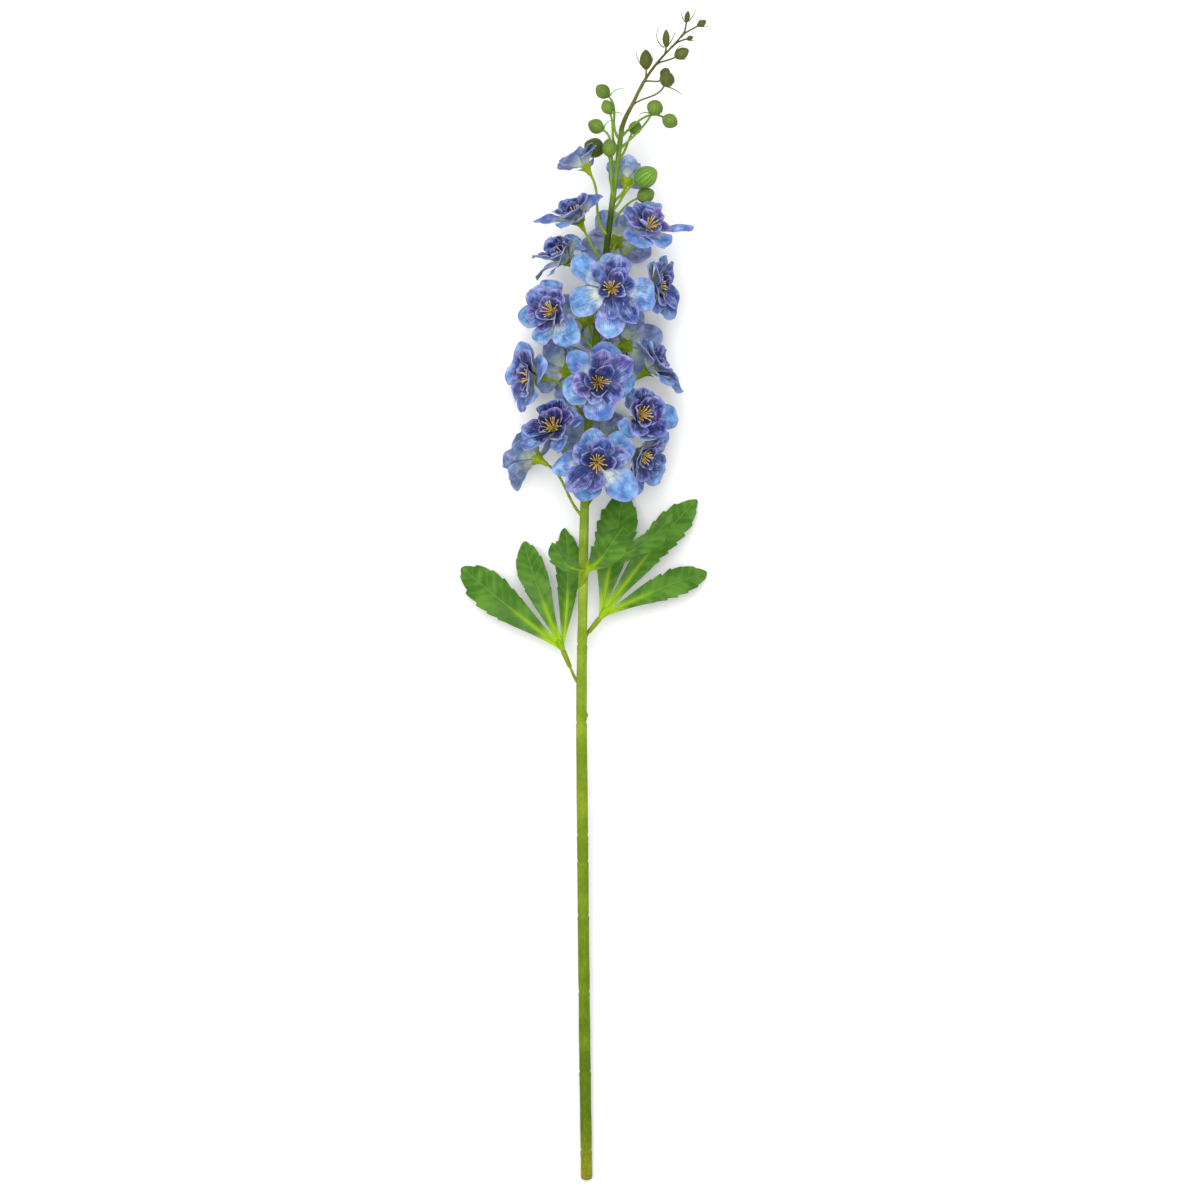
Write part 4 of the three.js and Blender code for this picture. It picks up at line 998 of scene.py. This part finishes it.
def lobe_grid(base, tip, wide, arch, up, draw):
    """A lobe, its length and width at each point in millimetres, and how young, or yellow, its cloth is.

    The middle line runs straight to the tip and arches over it by a half sine. The half width is a narrow
    strap plus the 0.9th power of a sine of the 1.7th power of most of the share of length. A saw wave,
    different on each side, cuts the outer edge into teeth that point at the tip. The sides slope up from
    the midrib, the cloth puffs between the veins by a cosine, and the edges wave.
    """
    s = np.linspace(0, 1, LOBE_ROWS)[:, None]
    t = np.linspace(-1, 1, LOBE_COLUMNS)[None, :]
    length = np.linalg.norm(tip - base)
    onward = (tip - base) / length
    upward = unit(np.array(up) - np.dot(up, onward) * onward)
    sideways = np.cross(onward, upward)
    half = wide / 2 * MM * (0.14 + 0.86 * np.sin(np.pi * (0.965 * s) ** 1.7) ** 0.9) * np.sqrt(1 - s**16)
    phase = draw.uniform(0, 2 * np.pi, 4)
    count = length / TOOTH_STEP
    place = count * s + 0.3 * np.sin(6 * s + phase[0]) + np.where(t < 0, 0.0, 0.45) + 1
    depths = TOOTH_DEPTH * draw.uniform(0.2, 1.2, (2, int(count) + 4))
    depth = np.where(t < 0, depths[0][place.astype(int)], depths[1][place.astype(int)])
    saw = depth * (place % 1 - 0.65) * smoothstep(0.38, 0.55, s) * (1 - smoothstep(0.95, 1.0, s))
    aside = half * t + saw * np.sign(t) * np.abs(t) ** 7
    along = s * length + 0.25 * np.abs(saw) * np.abs(t) ** 7
    vein = (along - 0.9 * np.abs(aside)) / (VEIN_STEP * MM)
    raised = 0.2 * np.abs(aside) * smoothstep(0.05, 0.3, s)
    puff = 0.1 * MM * (1 - np.cos(2 * np.pi * vein))
    raised = raised + puff * np.sqrt(1 - np.abs(t) ** 3) * smoothstep(0.2, 0.4, s)
    raised = raised - 0.7 * MM * np.exp(-((aside / (0.9 * MM)) ** 2)) * (1 - s)
    wave = np.sin(2 * np.pi * 1.7 * s + np.where(t < 0, phase[1], phase[2]))
    raised = raised + 1.6 * MM * np.abs(t) ** 2 * wave * smoothstep(0.15, 0.5, s)
    bend = arch * MM * np.sin(np.pi * s) + 1.2 * MM * np.sin(3 * np.pi * s + phase[3]) * s
    flat = base + along[..., None] * onward + aside[..., None] * sideways
    grid = flat + (raised + bend)[..., None] * upward
    young = (1 - smoothstep(0.06, 0.26, s)) * np.ones_like(t)
    young = np.maximum(young, np.exp(-((aside / (1.5 * MM)) ** 2)) * (1 - smoothstep(0.25, 0.6, s)))
    return lie_on_table(grid), along / MM, aside / MM, young


def veined_leaf_group():
    """Coated leaf cloth: two greens in soft blotches, the lighter partly the cloth's mottling and partly
    painted highlights of its gloss, paler along the midrib and along veins that leave it forward at a steady
    step, yellow where it is young, with a height that sinks at the veins."""
    colour, vector, value = "NodeSocketColor", "NodeSocketVector", "NodeSocketFloat"
    tree, given, out = new_group(
        "veined_leaf",
        [("Where", vector), ("Along", value), ("Aside", value), ("Young", value)]
        + [("Dark", colour), ("Light", colour), ("Vein", colour), ("Base", colour)],
        [("Colour", colour), ("Roughness", value), ("Height", value)],
    )
    away = math_node(tree, "ABSOLUTE", given["Aside"])
    wander = noise(tree, given["Where"], 90, 2)
    lateral = math_node(tree, "MULTIPLY_ADD", away, -0.9, given["Along"])
    lateral = math_node(tree, "DIVIDE", math_node(tree, "MULTIPLY_ADD", wander, 1.6, lateral), VEIN_STEP)
    near = math_node(tree, "ABSOLUTE", math_node(tree, "SUBTRACT", math_node(tree, "FRACT", lateral), 0.5))
    off_vein = ramp(tree, math_node(tree, "SUBTRACT", 0.5, near), 0.0, 0.09)
    lateral_vein = math_node(tree, "SUBTRACT", 1.0, off_vein)
    midrib = math_node(tree, "SUBTRACT", 1.0, ramp(tree, away, 0.25, 0.9))
    fine = noise(tree, given["Where"], 1500, 2)
    blotch = noise(tree, given["Where"], 70, 3)
    share = math_node(tree, "MULTIPLY_ADD", fine, 0.35, math_node(tree, "MULTIPLY_ADD", near, 0.25, blotch))
    # The lighter green in blotches: partly mottling of the cloth, partly painted highlights of its gloss.
    body = mix(tree, ramp(tree, share, 0.55, 0.95), given["Dark"], given["Light"])
    body = mix(tree, math_node(tree, "MULTIPLY", lateral_vein, 0.22), body, given["Vein"])
    body = mix(tree, math_node(tree, "MULTIPLY", midrib, 0.45), body, given["Vein"])
    yellowed = math_node(tree, "MULTIPLY_ADD", blotch, 0.6, 0.65)
    yellowed = math_node(tree, "MULTIPLY", given["Young"], yellowed, clamp=True)
    body = mix(tree, yellowed, body, given["Base"])
    tree.links.new(body, out["Colour"])
    tree.links.new(math_node(tree, "MULTIPLY_ADD", blotch, 0.3, 0.2), out["Roughness"])
    sunk = math_node(tree, "MAXIMUM", math_node(tree, "MULTIPLY", lateral_vein, 0.7), midrib)
    sunk = math_node(tree, "MULTIPLY", sunk, -1.0)
    tree.links.new(math_node(tree, "MULTIPLY_ADD", fine, 0.25, sunk), out["Height"])
    return tree


VEINED_LEAF = veined_leaf_group()


def leaf_material(name, dark, light, vein, base, coat):
    """One face of the leaf cloth."""
    values = {"Dark": dark, "Light": light, "Vein": vein, "Base": base}
    attributes = (("Along", "along_mm"), ("Aside", "aside_mm"), ("Young", "young"))
    material, shader = group_material(name, VEINED_LEAF, 0.3 * MM, 0.06, values, attributes)
    shader.inputs["Coat Weight"].default_value = coat
    shader.inputs["Coat Roughness"].default_value = 0.24
    return material


YELLOW_GREEN = linear(152, 188, 22)
# The light colour of each face, laid on in blotches, is partly painted highlights of the gloss.
FACE = linear(10, 38, 0), linear(54, 94, 0), linear(90, 134, 34), YELLOW_GREEN
UNDERSIDE = linear(60, 104, 30), linear(88, 134, 44), linear(116, 150, 64), YELLOW_GREEN
# A lighter copy of the leaf face for the front leaf: painted sheen on its tilted lobes.
SHEEN_LIT_FACE = linear(54, 96, 0), linear(80, 126, 0), linear(110, 160, 40), YELLOW_GREEN
leaf_face = leaf_material("leaf_face", *FACE, coat=0.12)
leaf_back = leaf_material("leaf_back", *UNDERSIDE, coat=0.1)
sheen_lit_leaf_face = leaf_material("sheen_lit_leaf_face", *SHEEN_LIT_FACE, coat=0.06)
neck_plastic = moulded_material("leaf_neck_plastic", linear(158, 194, 26), linear(120, 160, 14), streaks=0.6)

for number, (name, lobes) in enumerate(LEAVES.items()):
    draw = np.random.default_rng(300 + number)
    leaf_corners = node_corners(name)
    petiole_corners = node_corners(name + "_petiole")
    # The petiole's far end is its ring nearest to the leaf.
    gap = np.linalg.norm(petiole_corners[:, None] - leaf_corners[None], axis=-1).min(1)
    sleeve_top = petiole_corners[np.argsort(gap)[:6]].mean(0)
    heading = unit(sum(unit(lobe_tip(leaf_corners, sleeve_top, lobe[0]) - sleeve_top) for lobe in lobes))
    base = sleeve_top + NECK_GAP * heading
    made = [lobe_grid(base, lobe_tip(leaf_corners, base, lobe[0]), *lobe[1:], draw) for lobe in lobes]
    grids, alongs, asides, youngs = (np.stack(each) for each in zip(*made))
    leaf = piece_from_grids(
        name + "_cloth",
        grids,
        [sheen_lit_leaf_face if name == "leaf_front" else leaf_face, leaf_back],
        attributes={"along_mm": alongs, "aside_mm": asides, "young": youngs},
    )
    thicken(leaf, LEAF_CLOTH, 0)
    place_piece(leaf, name)
    reach = np.linspace(-3.2 * MM, 22 * MM, 28)
    neck_radius = (0.7 + 2.4 * np.exp(-(((reach / MM - 5) / 7.5) ** 2))) * MM
    neck = closed_ends(tube(base + reach[:, None] * heading, neck_radius, STALK_SIDES))
    moulding(name + "_neck", neck[None], neck_plastic, name)
    sleeve_foot = sleeve_top - SLEEVE_LENGTH * heading
    path = stalk_path(petiole_corners, sleeve_foot, heading)
    stalk = closed_ends(stalk_grid(path, 1.05 * MM))
    rise = np.linspace(0, 1, 18)
    sleeve_radius = np.interp(rise, *SLEEVE_OUTLINE) * MM
    sleeve_path = sleeve_foot + rise[:, None] * (sleeve_top - sleeve_foot)
    sleeve = closed_ends(tube(sleeve_path, sleeve_radius, STALK_SIDES))
    for part, grid in (("petiole_skin", stalk), ("sleeve", sleeve)):
        moulding(f"{name}_{part}", grid[None], stalk_plastic, name + "_petiole")

# ---- buds ----------------------------------------------------------------------------------------
# Small moulded buds, five sepals pressed together over a seam each, on short bent stalks that are moulded
# with them. Thin threads, the bud's bracts, stand off most of them.

# For each bud: its turn and nod in degrees, as a floret's; its length and width in millimetres; how
# strongly it is ribbed; and its bracts, each by its side, the slopes to the bud's own direction that it
# starts and ends at, and its length.
BUDS = {
    "bud_01": (100, 22, 14, 12.5, 0.6, []),
    "bud_02": (62, 26, 20, 16.5, 1.0, []),
    "bud_03": (-20, 72, 14, 11, 0.4, []),
    "bud_04": (-80, 22, 16, 15, 0.8, []),
    "bud_05": (-75, 26, 13, 11.2, 0.3, [(1, 60, 150, 11)]),
    "bud_06": (140, 50, 12, 9.6, 0.3, []),
    "bud_07": (80, -30, 12.5, 11.2, 0.3, []),
    "bud_08": (30, 40, 12.5, 12.4, 0.3, [(-1, 95, 165, 10)]),
    "bud_09": (-50, 60, 11.5, 9.6, 0.3, [(1, 70, 160, 9)]),
    "bud_10": (-72, 40, 12.6, 11, 0.3, [(1, 70, 150, 13)]),
}
BUD_ROWS, BUD_SIDES = 30, 40
BRACT_ROWS, BRACT_SIDES = 14, 8


def bud_grid(foot, direction, long, wide, ribs):
    """A bud's skin: its radius is the 0.6th power of a sine of the 0.95th power of the share of its
    length, less a narrow seam between each two of its five sepals and more at the ribs of each."""
    share = (1 - np.cos(np.linspace(0, np.pi, BUD_ROWS))) / 2
    angle = np.linspace(0, 2 * np.pi, BUD_SIDES, endpoint=False)
    plain = wide / 2 * np.sin(np.pi * share**0.95) ** 0.6
    turned = angle[None, :] + 0.5 * share[:, None]
    seam = np.abs(np.cos(2.5 * turned)) ** 24
    rib = np.cos(15 * turned)
    middle = np.sin(np.pi * share)[:, None]
    radius = np.maximum(plain, 0.35 * MM)[:, None] * (1 - 0.09 * seam * middle + 0.02 * ribs * rib * middle)
    path = foot + (share * long)[:, None] * direction
    return closed_ends(tube(path, radius, BUD_SIDES))


def bract_grid(foot, direction, side, start, end, length):
    """A thread from a bud's foot: its slope to the bud's direction turns evenly from start to end,
    towards a side in the plane of the table, and it thins to its tip."""
    across = side * unit(np.cross(direction, (0, 0, 1)))
    slope = np.radians(np.linspace(start, end, BRACT_ROWS))
    step = length / (BRACT_ROWS - 1)
    onward = np.cumsum(np.cos(slope) * step)[:, None] * direction
    aside = np.cumsum(np.sin(slope) * step)[:, None] * across
    lift = (np.linspace(0, 1, BRACT_ROWS) ** 2 * 0.15 * length)[:, None] * np.array([0, 0, 1])
    radius = np.linspace(0.5, 0.22, BRACT_ROWS) * MM
    return closed_ends(tube(foot + onward + aside + lift, radius, BRACT_SIDES))


def ribbed_green(light, pale):
    """A green with paler ribs along a piece, five to a turn, from its own UV map."""

    def build(tree):
        coordinates = tree.nodes.new("ShaderNodeTexCoord").outputs
        where = add_node(tree, "ShaderNodeSeparateXYZ", Vector=coordinates["UV"]).outputs
        lean = math_node(tree, "MULTIPLY", where["X"], 7.5)
        turned = math_node(tree, "MULTIPLY_ADD", where["Y"], 30 * math.pi, lean)
        rib = ramp(tree, math_node(tree, "COSINE", turned), 0.1, 1.0)
        return mix(tree, math_node(tree, "MULTIPLY", rib, 0.75), light, pale)

    return build


bud_green = ribbed_green(linear(106, 136, 50), linear(124, 158, 78))
bud_plastic = moulded_material("bud_plastic", bud_green, linear(78, 102, 32), streaks=0.5)
pale_ribs = ribbed_green(linear(98, 144, 46), linear(150, 186, 100))
ribbed_bud_plastic = moulded_material("ribbed_bud_plastic", pale_ribs, linear(80, 122, 36), streaks=0.4)
dark_green = ribbed_green(linear(82, 112, 30), linear(98, 128, 42))
dark_bud_plastic = moulded_material("dark_bud_plastic", dark_green, linear(52, 66, 22), streaks=0.7)
bud_stalk_plastic = moulded_material("bud_stalk_plastic", linear(128, 162, 60), linear(92, 130, 34))

for name, (turn, nod, long, wide, ribs, bracts) in BUDS.items():
    direction = facing(turn, nod)
    corners = node_corners(name)
    height = corners @ direction
    foot = corners[height > height.max() - END_RING].mean(0) - long * MM * direction
    skin = {"bud_02": ribbed_bud_plastic, "bud_04": dark_bud_plastic}.get(name, bud_plastic)
    bud = bud_grid(foot, direction, long * MM, wide * MM, ribs)
    moulding(name + "_skin", bud[None], skin, name)
    path = stalk_path(corners, foot + 0.6 * MM * direction, direction)
    stalk = closed_ends(stalk_grid(path, 0.85 * MM, 0.6 * MM))
    moulding(name + "_stalk_skin", stalk[None], bud_stalk_plastic, name)
    for number, (side, start, end, length) in enumerate(bracts):
        bract = bract_grid(foot - 0.5 * MM * direction, direction, side, start, end, length * MM)
        moulding(f"{name}_bract_{number + 1}", bract[None], bud_stalk_plastic, name)

# ---- tip spray -----------------------------------------------------------------------------------
# One olive moulding pushed into the stem's end: a thin bent axis with eight small buds on twigs, each with
# one or two thread-like bracts that curl up round it.

# Places in millimetres from the stem's end: to the right, onward and, for buds, up from the stem's own
# slope.
TIP_LINE = [(-1.0, -4.5), (1.9, 4), (8.2, 16.5), (15.2, 30.6), (25.0, 44.8), (40.0, 61.2), (45.4, 67.2)]
# For each bud: its middle; turn and nod; length and width; where its twig leaves, as a share of the axis;
# and its bracts.
TIP_BUDS = [
    ((33.5, 33, 8), 30, 45, 12, 11.6, 0.2, [(1, 70, 110, 14), (-1, 60, -10, 12)]),
    ((32.2, 39, -3), 120, 60, 9, 8, 0.45, [(1, 50, 0, 7)]),
    ((17.8, 48.2, 4), -8, 82, 15, 9.4, 0.28, [(-1, 50, 5, 15), (1, 50, -5, 13)]),
    ((44.6, 53, 3), 78, 28, 11.5, 8.8, 0.62, [(-1, 65, -15, 11), (1, 60, 10, 9)]),
    ((32.8, 64.2, 1), 5, 84, 13.5, 5.4, 0.68, [(-1, 70, -30, 17), (1, 40, 20, 13)]),
    ((50.7, 65, -2), 80, 15, 5, 3.8, 0.85, [(1, 50, 0, 6)]),
    ((59.5, 75.4, 1), 88, 32, 7.5, 5, 0.97, [(-1, 50, 0, 7), (1, 40, 30, 8)]),
    ((48.6, 80.5, 0), 40, 76, 8.5, 4.2, 0.98, [(-1, 60, 0, 9), (1, 45, 10, 11)]),
]
TWIG_ROWS = 26
tip_plastic = moulded_material("tip_plastic", linear(114, 116, 56), linear(80, 80, 30), streaks=0.7)
tip_green = ribbed_green(linear(98, 116, 52), linear(120, 138, 78))
tip_bud_plastic = moulded_material("tip_bud_plastic", tip_green, linear(80, 84, 34), streaks=0.8)

stem_end = ring_middles[-1]
stem_slope = (ring_middles[-1, 2] - ring_middles[-3, 2]) / (ring_middles[-1, 1] - ring_middles[-3, 1])


def from_stem_end(right, onward, up=0.0):
    """A place in the spray, on the slope that the stem ends at."""
    return stem_end + np.array([right, onward, onward * stem_slope + up]) * MM


knots = np.array([from_stem_end(*place) for place in TIP_LINE])
walked = np.r_[0, np.cumsum(np.linalg.norm(np.diff(knots, axis=0), axis=1))]
walked /= walked[-1]
axis_share = np.linspace(0, 1, 90)
axis_path = through(walked, knots, axis_share)
axis_radius = np.interp(axis_share, [0, 0.06, 0.3, 1], np.array([1.7, 1.75, 1.35, 0.62]) * MM)
axis = closed_ends(tube(axis_path, axis_radius, 20))
moulding("tip_axis", axis[None], tip_plastic, "tip_spray")
for number, (middle, turn, nod, long, wide, leaves_at, bracts) in enumerate(TIP_BUDS):
    name = f"tip_bud_{number + 1:02d}"
    direction = facing(turn, nod)
    foot = from_stem_end(*middle) - long / 2 * MM * direction
    start = through(walked, knots, np.array([leaves_at]))[0]
    span = np.linalg.norm(foot - start)
    onward = unit(through(walked, knots, np.array([leaves_at + 0.03]))[0] - start)
    leave = start + 0.4 * span * onward
    arrive = foot - 0.45 * span * direction
    twig_path = bezier(start, leave, arrive, foot + 0.5 * MM * direction, TWIG_ROWS)
    twig_radius = 0.65 * MM + 0.4 * MM * np.exp(-np.linspace(0, 1, TWIG_ROWS) * span / (2.5 * MM))
    root = foot - 0.4 * MM * direction
    pieces = {
        "skin": ([bud_grid(foot, direction, long * MM, wide * MM, 0.8)], tip_bud_plastic),
        "twig": ([closed_ends(tube(twig_path, twig_radius, 12))], tip_plastic),
        "bracts": ([bract_grid(root, direction, *each[:3], each[3] * MM) for each in bracts], tip_plastic),
    }
    for part, (grids, plastic) in pieces.items():
        moulding(f"{name}_{part}", np.stack(grids), plastic, "tip_spray")
